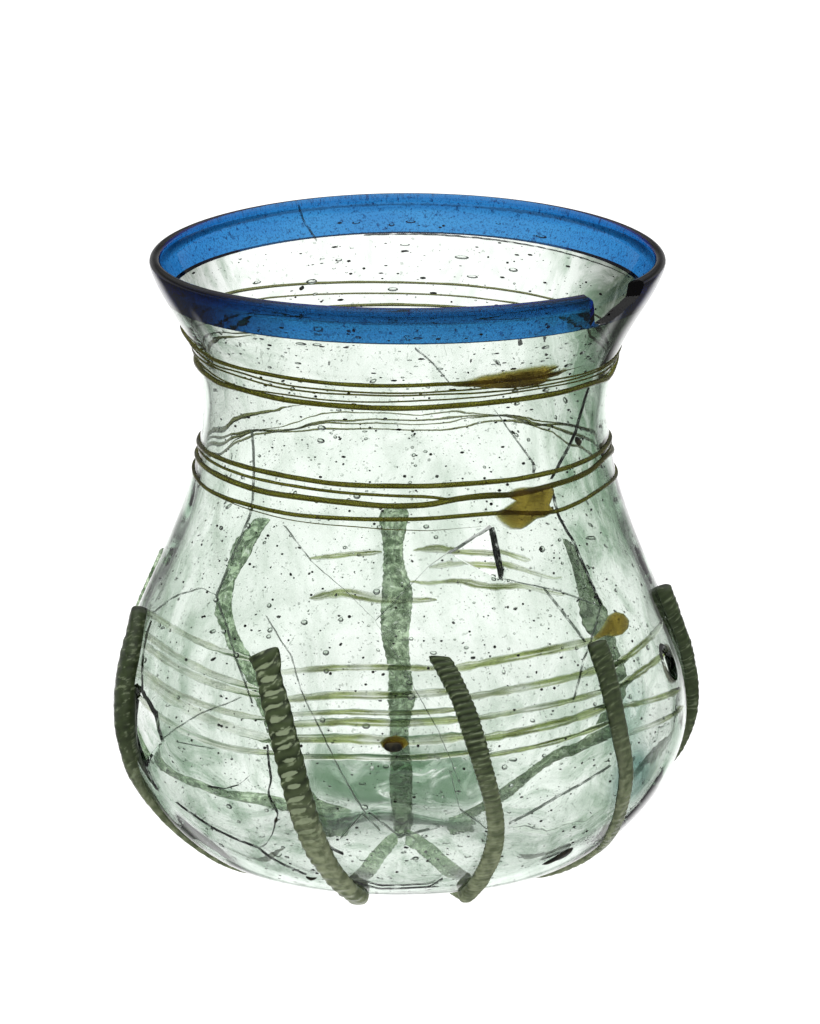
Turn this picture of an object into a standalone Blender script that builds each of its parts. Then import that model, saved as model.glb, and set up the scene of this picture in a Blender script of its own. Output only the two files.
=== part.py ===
"""A blown glass beaker with a coloured rim, wound threads and nine twisted cane feet.

Metres, +Z up, standing on its feet at z = 0. Angles are in degrees round the vessel:
0 faces the front (-Y) and they grow towards the right (+X).
"""

import math

import bmesh
import bpy
import numpy as np
from mathutils import Matrix

# The blown form, measured on the outside of the glass
HEIGHT = 0.0908
LIP_RADIUS = 0.0372
NECK_RADIUS = 0.0292
NECK_HEIGHT = 0.0690
BELLY_RADIUS = 0.0417
BELLY_HEIGHT = 0.0245
RING_RADIUS = 0.0220
KICK_HEIGHT = 0.0023
WALL = 0.0013
LIP_BEAD = 0.0010
FLARE_ANGLE = 16.0
LEAN = 0.015

# How far the outline runs straight on before it turns, as a share of the stretch it starts
KICK_PULL = 0.50
RING_PULL = 0.406
BELLY_PULL_DOWN = 0.482
BELLY_PULL_UP = 0.283
NECK_PULL_DOWN = 0.391
NECK_PULL_UP = 0.50
LIP_PULL = 0.308

# The coloured rim
RIM_DEPTH = 0.0055
CLEARANCE = 0.0003

# The canes that make the feet
CANE_THICKNESS = 0.0021
FOOT_THICKNESS = 0.0014
FOOT_PRESS = 0.0006
CANE_END_RADIUS = 0.0055
FOOT_WIDTH_SHARE = 0.78
END_WIDTH_SHARE = 0.45

# Name, angle at the top, angle at the foot, rise of the top above the belly, width
CANES = (
    ("cane_far_left", -97.0, -118.0, 0.0220, 0.0034),
    ("cane_left", -80.0, -46.0, 0.0170, 0.0036),
    ("cane_front_left", -32.0, -10.0, 0.0160, 0.0046),
    ("cane_front_right", 7.0, 24.0, 0.0158, 0.0036),
    ("cane_right", 45.5, 55.0, 0.0160, 0.0036),
    ("cane_far_right", 93.0, 80.0, 0.0172, 0.0034),
    ("cane_back_right", 138.0, 143.0, 0.0180, 0.0036),
    ("cane_back", 182.0, 179.0, 0.0200, 0.0040),
    ("cane_back_left", 216.0, 213.0, 0.0210, 0.0038),
)

# The wound threads. Their share is of the way from the waist up to the lip, or down to the belly.
UPPER_THREAD_SHARE = 0.495
LOWER_THREAD_SHARE = 0.220
THREAD_THICKNESS = 0.0005
THREAD_WIDTH = 0.0007
UPPER_THREAD = {"start": 54.0, "pitch": -0.00100, "turns": 4.0, "blob_width": 0.0017,
                "blob_angle": 38.0}
LOWER_THREAD = {"start": 44.0, "pitch": 0.00128, "turns": 4.0, "blob_width": 0.0036,
                "blob_angle": 17.0}
BLOB_THICKNESS = 0.0009
BLOB_BLUNTNESS = 0.5

# Breaks, as corners of angle and rise above the belly's widest level
MISSING_TRIANGLE = ((11.9, 0.0294), (23.9, 0.0326), (25.2, 0.0252))
MISSING_STRIP = (
    (-69.0, 0.0065), (-65.5, 0.0060), (-59.2, 0.0031), (-55.8, -0.0001), (-61.2, -0.0038),
    (-59.5, -0.0070), (-56.5, -0.0098), (-59.5, -0.0098), (-63.0, -0.0060), (-66.0, -0.0010),
)
OVAL_ANGLE = 74.6
OVAL_RISE = 0.0084
OVAL_HALF_ANGLE = 3.2
OVAL_HALF_HEIGHT = 0.0027
OVAL_TILT = 0.35

# The chip in the rim, as angle and drop below the lip, on the inner and the outer side.
# The drop is a share of the coloured band's height.
CHIP_TOP = -0.60
CHIP_INNER = ((47.4, CHIP_TOP), (48.6, 0.80), (54.5, 0.785), (65.0, 0.40), (66.5, CHIP_TOP))
CHIP_OUTER = ((47.4, CHIP_TOP), (48.6, 0.815), (60.0, 0.723), (74.0, 0.43), (86.0, CHIP_TOP))

CUTTER_REACH = 0.0042
SLOPE_REACH = 0.0009
BEAD_SWEEP = 207.0

STEPS_ROUND = 45
WALL_STATIONS = (4, 6, 7, 5)
RIM_STATIONS = 5
BEAD_CORNERS = 5
CANE_WALL_STATIONS = 9
CANE_FOOT_STATIONS = 5
CANE_SIDES = 8
THREAD_SIDES = 5
THREAD_STEPS_PER_TURN = 28
OVAL_CORNERS = 10
CURVE_SAMPLES = 40
MERGE = 0.00001
SHARP_ANGLE = 40.0

GLASS_BOTTOM = FOOT_THICKNESS + CLEARANCE

COLOURS = {
    "bowl": ((0.78, 0.90, 0.80), 0.08),
    "rim": ((0.03, 0.13, 0.55), 0.10),
    "thread": ((0.45, 0.38, 0.12), 0.35),
    "cane": ((0.22, 0.27, 0.14), 0.40),
}


def clear_scene():
    for old in list(bpy.data.objects):
        bpy.data.objects.remove(old, do_unlink=True)


def collection(name):
    made = bpy.data.collections.new(name)
    bpy.context.scene.collection.children.link(made)
    return made


def material(name):
    colour, roughness = COLOURS[name]
    made = bpy.data.materials.new(name)
    made.use_nodes = True
    shader = made.node_tree.nodes["Principled BSDF"]
    shader.inputs["Base Color"].default_value = (*colour, 1.0)
    shader.inputs["Roughness"].default_value = roughness
    shader.inputs["Metallic"].default_value = 0.0
    return made


def add_object(name, mesh, home, finish=None):
    made = bpy.data.objects.new(name, mesh)
    home.objects.link(made)
    if finish:
        mesh.materials.append(finish)
    return made


def curve(start, start_pull, end_pull, end):
    """Points on a cubic curve between two stations, each with its own handle."""
    t = np.linspace(0.0, 1.0, CURVE_SAMPLES)[:, None]
    corners = [np.array(point) for point in (start, start_pull, end_pull, end)]
    weights = ((1 - t) ** 3, 3 * t * (1 - t) ** 2, 3 * t * t * (1 - t), t**3)
    return sum(weight * corner for weight, corner in zip(weights, corners))


def outer_outline():
    """The outside of the glass, from the middle of the underside out and up to the lip."""
    kick = GLASS_BOTTOM + KICK_HEIGHT
    flare = math.radians(FLARE_ANGLE)
    lip = (LIP_RADIUS, HEIGHT - LIP_BEAD)
    kick_pull = RING_RADIUS * KICK_PULL
    ring_pull = (BELLY_RADIUS - RING_RADIUS) * RING_PULL
    belly_rise = BELLY_HEIGHT - GLASS_BOTTOM
    shoulder_rise = NECK_HEIGHT - BELLY_HEIGHT
    throat_rise = lip[1] - NECK_HEIGHT
    lip_pull = (lip[0] - throat_rise * LIP_PULL * math.sin(flare),
                lip[1] - throat_rise * LIP_PULL * math.cos(flare))
    stretches = (
        ((0.0, kick), (kick_pull, kick), (RING_RADIUS - kick_pull, GLASS_BOTTOM),
         (RING_RADIUS, GLASS_BOTTOM)),
        ((RING_RADIUS, GLASS_BOTTOM), (RING_RADIUS + ring_pull, GLASS_BOTTOM),
         (BELLY_RADIUS, BELLY_HEIGHT - belly_rise * BELLY_PULL_DOWN), (BELLY_RADIUS, BELLY_HEIGHT)),
        ((BELLY_RADIUS, BELLY_HEIGHT), (BELLY_RADIUS, BELLY_HEIGHT + shoulder_rise * BELLY_PULL_UP),
         (NECK_RADIUS, NECK_HEIGHT - shoulder_rise * NECK_PULL_DOWN), (NECK_RADIUS, NECK_HEIGHT)),
        ((NECK_RADIUS, NECK_HEIGHT), (NECK_RADIUS, NECK_HEIGHT + throat_rise * NECK_PULL_UP),
         lip_pull, lip),
    )
    points = [curve(*stretches[0])]
    points += [curve(*stretch)[1:] for stretch in stretches[1:]]
    return np.vstack(points)


class Wall:
    """The outline by distance along it, with its outward normal."""

    def __init__(self):
        self.points = outer_outline()
        steps = np.linalg.norm(np.diff(self.points, axis=0), axis=1)
        self.along = np.concatenate(([0.0], np.cumsum(steps)))
        self.length = self.along[-1]

    def at(self, distance):
        radius = np.interp(distance, self.along, self.points[:, 0])
        height = np.interp(distance, self.along, self.points[:, 1])
        return np.array((radius, height))

    def normal(self, distance):
        ahead = self.at(min(distance + SLOPE_REACH, self.length))
        behind = self.at(max(distance - SLOPE_REACH, 0.0))
        along = (ahead - behind) / np.linalg.norm(ahead - behind)
        return np.array((along[1], -along[0]))

    def offset(self, distance, lift):
        """The point that stands out of the glass by lift, or inside it where lift is negative."""
        return self.at(distance) + self.normal(distance) * lift

    def distance_at_height(self, height):
        rising = CURVE_SAMPLES - 1
        return float(np.interp(height, self.points[rising:, 1], self.along[rising:]))

    def distance_at_ring(self):
        return float(self.along[CURVE_SAMPLES - 1])

    def stations(self, end):
        """Distances from the middle of the underside up to end, so many in each stretch."""
        found = [0.0]
        for i, count in enumerate(WALL_STATIONS):
            stop = (i + 1) * (CURVE_SAMPLES - 1)
            low = self.along[stop - CURVE_SAMPLES + 1]
            high = min(self.along[stop], end)
            found += list(np.linspace(low, high, count + 1)[1:])
        return found

    def distance_under(self, radius):
        rising = CURVE_SAMPLES
        return float(np.interp(radius, self.points[:rising, 0], self.along[:rising]))


def place(angle, radius, height):
    turn = math.radians(angle)
    return (radius * math.sin(turn), -radius * math.cos(turn), height)


def turned(name, profile, home, finish, closed):
    """A profile of (radius, height) points turned round the Z axis."""
    edges = [(i, i + 1) for i in range(len(profile) - 1)]
    if closed:
        edges.append((len(profile) - 1, 0))
    mesh = bpy.data.meshes.new(name)
    mesh.from_pydata([(radius, 0.0, height) for radius, height in profile], edges, [])
    made = add_object(name, mesh, home, finish)
    screw = made.modifiers.new("turn", "SCREW")
    screw.steps = STEPS_ROUND
    screw.render_steps = STEPS_ROUND
    screw.use_merge_vertices = True
    screw.merge_threshold = MERGE
    return made


def loft(name, rings, home, finish=None):
    """A closed solid through rings of equal count, with a flat end on the first and the last."""
    mesh = bpy.data.meshes.new(name)
    shape = bmesh.new()
    made_rings = [[shape.verts.new(corner) for corner in ring] for ring in rings]
    for low, high in zip(made_rings, made_rings[1:]):
        for i in range(len(low)):
            following = (i + 1) % len(low)
            shape.faces.new((low[i], low[following], high[following], high[i]))
    shape.faces.new(list(reversed(made_rings[0])))
    shape.faces.new(made_rings[-1])
    bmesh.ops.recalc_face_normals(shape, faces=shape.faces)
    shape.to_mesh(mesh)
    shape.free()
    return add_object(name, mesh, home, finish)


def section(sides, width, thickness):
    """An oval as (sideways, outward) pairs, with a flat on the side next to the glass."""
    corners = []
    for i in range(sides):
        turn = 2 * math.pi * (i + 0.5) / sides - math.pi / 2
        sideways = math.cos(turn) * width / 2
        outward = (1 + math.sin(turn) / math.cos(math.pi / sides)) * thickness / 2
        corners.append((sideways, outward))
    return corners


def cane(wall, name, top_angle, foot_angle, rise, width, home, finish):
    """One cane, pressed along the wall from its top down and in under the vessel."""
    top = wall.distance_at_height(BELLY_HEIGHT + rise)
    foot = wall.distance_at_ring()
    end = wall.distance_under(CANE_END_RADIUS)
    rings = []
    on_wall = np.linspace(top, foot, CANE_WALL_STATIONS + 1)
    under = np.linspace(foot, end, CANE_FOOT_STATIONS)[1:]
    for distance in (*on_wall, *under):
        down = min((top - distance) / (top - foot), 1.0)
        inward = max((foot - distance) / (foot - end), 0.0)
        angle = top_angle + (foot_angle - top_angle) * down
        thickness = CANE_THICKNESS + (FOOT_THICKNESS + FOOT_PRESS - CANE_THICKNESS) * down
        share = 1 + (FOOT_WIDTH_SHARE - 1) * down + (END_WIDTH_SHARE - FOOT_WIDTH_SHARE) * inward
        turn = math.radians(angle)
        ring = []
        for sideways, outward in section(CANE_SIDES, width * share, thickness):
            radius, height = wall.offset(distance, CLEARANCE + outward)
            x = radius * math.sin(turn) + sideways * math.cos(turn)
            y = -radius * math.cos(turn) + sideways * math.sin(turn)
            ring.append((x, y, max(height, 0.0)))
        rings.append(ring)
    return loft(name, rings, home, finish)


def thread(wall, name, spec, start_height, home, finish):
    """A thread wound on the neck. It starts as a thick blob and draws out thin."""
    steps = int(spec["turns"] * THREAD_STEPS_PER_TURN)
    rings = []
    for step in range(steps + 1):
        turned_by = 360.0 * step / THREAD_STEPS_PER_TURN
        drawn = min(turned_by / spec["blob_angle"], 1.0)
        blob = math.sin(math.pi * drawn**BLOB_BLUNTNESS)
        width = THREAD_WIDTH + (spec["blob_width"] - THREAD_WIDTH) * blob
        thickness = THREAD_THICKNESS + (BLOB_THICKNESS - THREAD_THICKNESS) * blob
        level = start_height + spec["pitch"] * turned_by / 360.0
        distance = wall.distance_at_height(level)
        angle = spec["start"] - turned_by
        ring = []
        for sideways, outward in section(THREAD_SIDES, width, thickness):
            radius, height = wall.offset(distance + sideways, CLEARANCE + outward)
            ring.append(place(angle, radius, height))
        rings.append(ring)
    return loft(name, rings, home, finish)


def wall_cutter(name, inner, outer, home):
    """A plug through the wall, from an inner to an outer outline of (angle, height) corners."""
    rings = []
    for corners, side in ((inner, -1), (outer, 1)):
        ring = []
        for angle, height, radius in corners:
            ring.append(place(angle, radius + side * CUTTER_REACH, height))
        rings.append(ring)
    made = loft(name, rings, home)
    made.hide_render = True
    made.display_type = "WIRE"
    return made


def cut(part, cutter):
    modifier = part.modifiers.new(cutter.name, "BOOLEAN")
    modifier.operation = "DIFFERENCE"
    modifier.solver = "EXACT"
    modifier.object = cutter


def with_radius(wall, corners, base):
    """Corners of (angle, rise over base) with the wall's own radius there."""
    found = []
    for angle, rise in corners:
        height = base + rise
        radius = wall.at(wall.distance_at_height(min(height, HEIGHT - LIP_BEAD)))[0]
        found.append((angle, height, radius))
    return found


def oval_corners():
    corners = []
    for i in range(OVAL_CORNERS):
        turn = 2 * math.pi * i / OVAL_CORNERS
        across = OVAL_HALF_ANGLE * math.cos(turn)
        up = math.sin(turn)
        corners.append((OVAL_ANGLE + across - OVAL_TILT * OVAL_HALF_ANGLE * up,
                        OVAL_RISE + OVAL_HALF_HEIGHT * up))
    return corners


def rim_profile(wall, start):
    """The coloured band and its rounded lip, down the outside and back up the inside."""
    bead = np.array((LIP_RADIUS - LIP_BEAD, HEIGHT - LIP_BEAD))
    stations = np.linspace(start, wall.length, RIM_STATIONS + 1)[:-1]
    outer = [wall.at(distance) for distance in stations]
    inner = [wall.offset(distance, -WALL) for distance in stations]
    turns = np.linspace(0.0, math.radians(BEAD_SWEEP), BEAD_CORNERS + 2)
    lip = [bead + LIP_BEAD * np.array((math.cos(turn), math.sin(turn))) for turn in turns]
    return list(reversed(outer)) + inner + list(reversed(lip))


def lean(part):
    """Sets the finished mesh and slants it, so that the lip stands to one side of the base."""
    depsgraph = bpy.context.evaluated_depsgraph_get()
    mesh = bpy.data.meshes.new_from_object(part.evaluated_get(depsgraph))
    mesh.transform(Matrix.Shear("XY", 4, (LEAN, 0.0)))
    part.modifiers.clear()
    part.data = mesh


def centre_footprint(parts):
    """Moves the vessel so that the middle of its footprint's box is at the origin."""
    corners = np.array([vertex.co for part in parts for vertex in part.data.vertices])
    middle = (corners.min(axis=0) + corners.max(axis=0)) / 2
    for part in parts:
        part.data.transform(Matrix.Translation((-middle[0], -middle[1], 0.0)))


def build():
    clear_scene()
    parts = collection("reticella_beaker")
    cutters = collection("cutters")
    wall = Wall()

    band_start = wall.distance_at_height(HEIGHT - LIP_BEAD - RIM_DEPTH)
    outside = [wall.at(distance) for distance in reversed(wall.stations(band_start))]
    bowl = turned("bowl", outside, parts, material("bowl"), False)
    shell = bowl.modifiers.new("wall", "SOLIDIFY")
    shell.thickness = WALL
    shell.offset = -1.0
    rim = turned("rim", rim_profile(wall, band_start + CLEARANCE), parts, material("rim"), True)

    for name, corners in (("missing_triangle", MISSING_TRIANGLE), ("missing_strip", MISSING_STRIP),
                          ("oval_hole", oval_corners())):
        outline = with_radius(wall, corners, BELLY_HEIGHT)
        cut(bowl, wall_cutter(name, outline, outline, cutters))
    band = RIM_DEPTH + LIP_BEAD
    chip = [with_radius(wall, [(angle, -drop * band) for angle, drop in corners], HEIGHT)
            for corners in (CHIP_INNER, CHIP_OUTER)]
    cut(rim, wall_cutter("rim_chip", *chip, cutters))

    thread_finish = material("thread")
    above = NECK_HEIGHT + (HEIGHT - LIP_BEAD - NECK_HEIGHT) * UPPER_THREAD_SHARE
    below = NECK_HEIGHT - (NECK_HEIGHT - BELLY_HEIGHT) * LOWER_THREAD_SHARE
    threads = [
        thread(wall, "neck_thread_upper", UPPER_THREAD, above, parts, thread_finish),
        thread(wall, "neck_thread_lower", LOWER_THREAD, below, parts, thread_finish),
    ]
    cane_finish = material("cane")
    canes = [cane(wall, *spec, parts, cane_finish) for spec in CANES]

    everything = [bowl, rim] + threads + canes
    for part in everything:
        lean(part)
        part.data.shade_smooth()
        part.data.set_sharp_from_angle(angle=math.radians(SHARP_ANGLE))
    centre_footprint(everything)


build()
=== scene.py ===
# A blown glass beaker with a blue rim, wound threads and twisted cane feet
import math
import random

import bpy
import numpy as np
from mathutils import Matrix, Vector, noise


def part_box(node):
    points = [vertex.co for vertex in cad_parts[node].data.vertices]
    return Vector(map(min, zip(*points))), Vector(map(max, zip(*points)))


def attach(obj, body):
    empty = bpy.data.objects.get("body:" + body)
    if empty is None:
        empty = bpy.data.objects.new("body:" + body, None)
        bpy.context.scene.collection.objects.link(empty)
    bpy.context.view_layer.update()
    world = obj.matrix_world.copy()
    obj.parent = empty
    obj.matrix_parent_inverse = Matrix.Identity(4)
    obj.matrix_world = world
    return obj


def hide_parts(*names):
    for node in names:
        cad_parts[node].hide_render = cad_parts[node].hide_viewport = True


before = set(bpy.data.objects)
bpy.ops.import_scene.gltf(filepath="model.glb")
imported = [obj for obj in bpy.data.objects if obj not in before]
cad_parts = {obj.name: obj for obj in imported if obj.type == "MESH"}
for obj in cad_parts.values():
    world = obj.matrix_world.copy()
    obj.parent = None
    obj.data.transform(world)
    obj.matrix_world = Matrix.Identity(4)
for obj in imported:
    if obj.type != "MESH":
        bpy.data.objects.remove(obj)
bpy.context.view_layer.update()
print("frame loaded:", len(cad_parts), "nodes")

mm = 0.001
body = "root"
weld = 0.001 * mm

# The blown form. Everything that lies on the glass is placed by angle and by distance along this outline.
# Angles are degrees round the beaker: 0 at the front, growing to the right.
form = {
    "lipRadius": 37.2 * mm,
    "neckRadius": 29.2 * mm,
    "neckHeight": 69.0 * mm,
    "bellyRadius": 41.7 * mm,
    "bellyHeight": 24.5 * mm,
    "ringRadius": 22.0 * mm,
    "kickHeight": 2.3 * mm,
    "wall": 1.3 * mm,
    "lipBead": 1.0 * mm,
    "flareAngle": 16,
    "lean": 0.015,
    "rise": 0.8 * mm,                    # front and back of the rim stand higher than its sides
    "kickPull": 0.50,                    # shares of a stretch that run straight on
    "ringPull": 0.406,
    "bellyPullDown": 0.482,
    "bellyPullUp": 0.283,
    "neckPullDown": 0.391,
    "neckPullUp": 0.50,
    "lipPull": 0.308,
    "samples": 160,
}
bowlLow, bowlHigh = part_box("bowl")
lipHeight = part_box("rim")[1].z
glassBottom = bowlLow.z
axisY = (bowlLow.y + bowlHigh.y) / 2
axisX = bowlHigh.x - form["bellyRadius"] - form["lean"] * form["bellyHeight"]
bandStart = bowlHigh.z


def bezier(start, startPull, endPull, end):
    t = np.linspace(0.0, 1.0, form["samples"])[:, None]
    corners = [np.array(point) for point in (start, startPull, endPull, end)]
    weights = ((1 - t) ** 3, 3 * t * (1 - t) ** 2, 3 * t * t * (1 - t), t**3)
    return sum(weight * corner for weight, corner in zip(weights, corners))


def drawOutline():
    f = form
    ring, belly, neck, lip = f["ringRadius"], f["bellyRadius"], f["neckRadius"], f["lipRadius"]
    kick = glassBottom + f["kickHeight"]
    lipLevel = lipHeight - f["lipBead"]
    down = (f["bellyHeight"] - glassBottom) * f["bellyPullDown"]
    shoulder = f["neckHeight"] - f["bellyHeight"]
    throat = lipLevel - f["neckHeight"]
    flare = math.radians(f["flareAngle"])
    lipPull = (lip - throat * f["lipPull"] * math.sin(flare),
               lipLevel - throat * f["lipPull"] * math.cos(flare))
    stretches = (
        ((0, kick), (ring * f["kickPull"], kick), (ring * f["kickPull"], glassBottom), (ring, glassBottom)),
        ((ring, glassBottom), (ring + (belly - ring) * f["ringPull"], glassBottom),
         (belly, f["bellyHeight"] - down), (belly, f["bellyHeight"])),
        ((belly, f["bellyHeight"]), (belly, f["bellyHeight"] + shoulder * f["bellyPullUp"]),
         (neck, f["neckHeight"] - shoulder * f["neckPullDown"]), (neck, f["neckHeight"])),
        ((neck, f["neckHeight"]), (neck, f["neckHeight"] + throat * f["neckPullUp"]), lipPull,
         (lip, lipLevel)),
    )
    points = [bezier(*stretches[0])] + [bezier(*stretch)[1:] for stretch in stretches[1:]]
    return np.vstack(points)


outline = drawOutline()
outlineAlong = np.concatenate(([0.0], np.cumsum(np.linalg.norm(np.diff(outline, axis=0), axis=1))))
outlineSlope = np.gradient(outline, outlineAlong, axis=0)
outlineSlope /= np.linalg.norm(outlineSlope, axis=1)[:, None]
ringIndex = form["samples"] - 1
ringAlong = outlineAlong[ringIndex]
lipAlong = outlineAlong[-1]


def alongAt(height):                     # distance along the outline, above the standing ring
    return np.interp(height, outline[ringIndex:, 1], outlineAlong[ringIndex:])


def alongUnder(radius):                  # distance along the outline, under the base
    return np.interp(radius, outline[:ringIndex + 1, 0], outlineAlong[:ringIndex + 1])


def radiusAt(along):
    return np.interp(along, outlineAlong, outline[:, 0])


def heightAt(along):
    return np.interp(along, outlineAlong, outline[:, 1])


def swelling(angle):                     # how much taller the beaker stands at an angle than at its sides
    return 1 + form["rise"] / lipHeight * np.cos(np.radians(angle)) ** 2


def toRow(angle, radius, height):        # polar place on the leaning beaker to row coordinates
    turn = np.radians(angle)
    x = axisX + radius * np.sin(turn) + form["lean"] * height
    y = axisY - radius * np.cos(turn)
    return np.stack(np.broadcast_arrays(x, y, height * swelling(angle)), axis=-1)


def liftedOff(along, lift):              # radius and height of a spot that is lifted off the glass
    outward = np.interp(along, outlineAlong, outlineSlope[:, 1])
    upward = np.interp(along, outlineAlong, outlineSlope[:, 0])
    return radiusAt(along) + outward * lift, heightAt(along) - upward * lift


def onWall(angle, along, lift=0.0):
    return toRow(angle, *liftedOff(along, lift))


# The camera stands as it does in the photograph. Places read there are pixels of its 820 x 1024 frame.
shot = {
    "width": 820,
    "height": 1024,
    "scale": 6.92,                       # pixels for a millimetre at the beaker
    "distance": 2500 * mm,
    "elevation": 14,
    "axisPixel": 398.2,                  # where the foot of the axis shows
    "footPixel": 865.8,
    "levelHeight": 45 * mm,              # the height at which the distance is taken
    "sensor": 36,
    "clipEnd": 20,
    "sightReach": 90 * mm,               # how far before and behind the axis a sight line is followed
    "sightSteps": 1441,
}


def setCamera():
    tilt = math.radians(shot["elevation"])
    pixel = mm / shot["scale"]
    right = (shot["width"] / 2 - shot["axisPixel"]) * pixel
    above = (shot["footPixel"] - shot["height"] / 2) * pixel - shot["levelHeight"] * math.cos(tilt)
    toCamera = Vector((0, -math.cos(tilt), math.sin(tilt)))
    upward = Vector((0, math.sin(tilt), math.cos(tilt)))
    target = Vector((axisX + right, axisY, shot["levelHeight"])) + upward * above
    bpy.ops.object.camera_add(location=target + toCamera * shot["distance"],
                              rotation=(math.radians(90) - tilt, 0, 0))
    camera = bpy.context.object
    camera.data.sensor_width = shot["sensor"]
    camera.data.lens = shot["sensor"] * shot["distance"] / (shot["height"] * pixel)
    camera.data.clip_end = shot["clipEnd"]
    bpy.context.scene.camera = camera
    bpy.context.view_layer.update()
    return camera


camera = setCamera()


def fromPhoto(x, y, side="front"):       # angle and distance along the wall at a pixel
    frameHeight = shot["sensor"] / camera.data.lens
    across = (x - shot["width"] / 2) / shot["height"] * frameHeight
    upward = (shot["height"] / 2 - y) / shot["height"] * frameHeight
    matrix = camera.matrix_world
    ray = np.array((matrix.to_3x3() @ Vector((across, upward, -1))).normalized())
    travel = np.linspace(-shot["sightReach"], shot["sightReach"], shot["sightSteps"]) + shot["distance"]
    points = np.array(matrix.translation) + travel[:, None] * ray
    aside = points[:, 0] - axisX - form["lean"] * points[:, 2]
    away = axisY - points[:, 1]
    reach = np.hypot(aside, away)
    points[:, 2] /= swelling(np.degrees(np.arctan2(aside, away)))
    wall = np.interp(points[:, 2], outline[ringIndex:, 1], outline[ringIndex:, 0], left=0, right=0)
    gap = reach - wall
    crossings = np.nonzero(np.diff(np.sign(gap)))[0]
    if len(crossings) == 0:
        place = points[np.argmin(np.abs(gap))]
    else:
        i = crossings[0] if side == "front" else crossings[-1]
        place = points[i] + (points[i + 1] - points[i]) * gap[i] / (gap[i] - gap[i + 1])
    angle = math.degrees(math.atan2(place[0] - axisX - form["lean"] * place[2], axisY - place[1]))
    return angle, float(alongAt(place[2]))


# Modelling helpers
def deselect():
    if bpy.context.mode != "OBJECT":
        bpy.ops.object.mode_set(mode="OBJECT")
    bpy.ops.object.select_all(action="DESELECT")


def pick(*pieces):
    deselect()
    for piece in pieces:
        piece.select_set(True)
    bpy.context.view_layer.objects.active = pieces[0]


def corners(piece):
    places = np.empty(len(piece.data.vertices) * 3)
    piece.data.vertices.foreach_get("co", places)
    return places.reshape(-1, 3)


def setCorners(piece, places):
    piece.data.vertices.foreach_set("co", np.ascontiguousarray(places, dtype=float).ravel())
    piece.data.update()


def applyAll(piece):
    pick(piece)
    for modifier in list(piece.modifiers):
        bpy.ops.object.modifier_apply(modifier=modifier.name)


def lathe(name, profile, steps, closed=False):
    deselect()
    bpy.ops.mesh.primitive_plane_add(size=mm)
    piece = bpy.context.object
    piece.name = name
    bpy.ops.object.mode_set(mode="EDIT")
    bpy.ops.mesh.merge(type="CENTER")
    bpy.ops.transform.translate(value=(profile[0][0], 0, profile[0][1]))
    for before, after in zip(profile, profile[1:]):
        step = (after[0] - before[0], 0, after[1] - before[1])
        bpy.ops.mesh.extrude_vertices_move(TRANSFORM_OT_translate={"value": step})
    if closed:
        bpy.ops.object.mode_set(mode="OBJECT")
        piece.data.vertices[0].select = True
        bpy.ops.object.mode_set(mode="EDIT")
        bpy.ops.mesh.edge_face_add()
    bpy.ops.mesh.select_all(action="SELECT")
    bpy.ops.mesh.spin(steps=steps, angle=math.tau, center=(0, 0, 0), axis=(0, 0, 1))
    bpy.ops.mesh.select_all(action="SELECT")
    bpy.ops.mesh.remove_doubles(threshold=weld)
    bpy.ops.mesh.normals_make_consistent(inside=False)
    bpy.ops.object.mode_set(mode="OBJECT")
    outward = sum(face.normal.xy.dot(face.center.xy) for face in piece.data.polygons)
    if outward < 0 and not closed:
        bpy.ops.object.mode_set(mode="EDIT")
        bpy.ops.mesh.flip_normals()
        bpy.ops.object.mode_set(mode="OBJECT")
    return piece


def rolled(name, sides, stations, place, weave=(1.0, 1.0)):
    # A sheet rolled into a closed bar: place turns u round the bar and v along it into points,
    # and weave is how often the bar's UV map repeats round it and along it.
    deselect()
    bpy.ops.mesh.primitive_grid_add(x_subdivisions=sides, y_subdivisions=stations, size=1, calc_uvs=True)
    piece = bpy.context.object
    piece.name = name
    flat = corners(piece)
    u = flat[:, 0] - flat[:, 0].min()
    v = flat[:, 1] - flat[:, 1].min()
    setCorners(piece, place(u, v))
    for loop in piece.data.uv_layers[0].data:
        loop.uv = (loop.uv[0] * weave[0], loop.uv[1] * weave[1])
    bpy.ops.object.mode_set(mode="EDIT")
    bpy.ops.mesh.select_all(action="SELECT")
    bpy.ops.mesh.remove_doubles(threshold=weld)
    bpy.ops.mesh.select_all(action="DESELECT")
    bpy.ops.mesh.select_non_manifold(extend=False)
    bpy.ops.mesh.edge_face_add()
    bpy.ops.mesh.select_all(action="SELECT")
    bpy.ops.mesh.normals_make_consistent(inside=False)
    bpy.ops.object.mode_set(mode="OBJECT")
    return piece


def joined(name, pieces):
    pick(*pieces)
    if len(pieces) > 1:
        bpy.ops.object.join()
    pieces[0].name = name
    return pieces[0]


def cutOut(piece, cutter):
    modifier = piece.modifiers.new("cut", "BOOLEAN")
    modifier.operation = "DIFFERENCE"
    modifier.solver = "EXACT"
    modifier.object = cutter
    applyAll(piece)
    bpy.data.objects.remove(cutter)


def smooth(piece, angle=40):
    pick(piece)
    bpy.ops.object.shade_smooth_by_angle(angle=math.radians(angle))


def finishPiece(piece, finish, slot=None, *nodes):
    while len(piece.data.materials) > 1:
        piece.data.materials.pop()
    if piece.data.materials:
        piece.data.materials[0] = finish
    else:
        piece.data.materials.append(finish)
    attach(piece, body)
    if nodes:
        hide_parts(*nodes)


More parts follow.
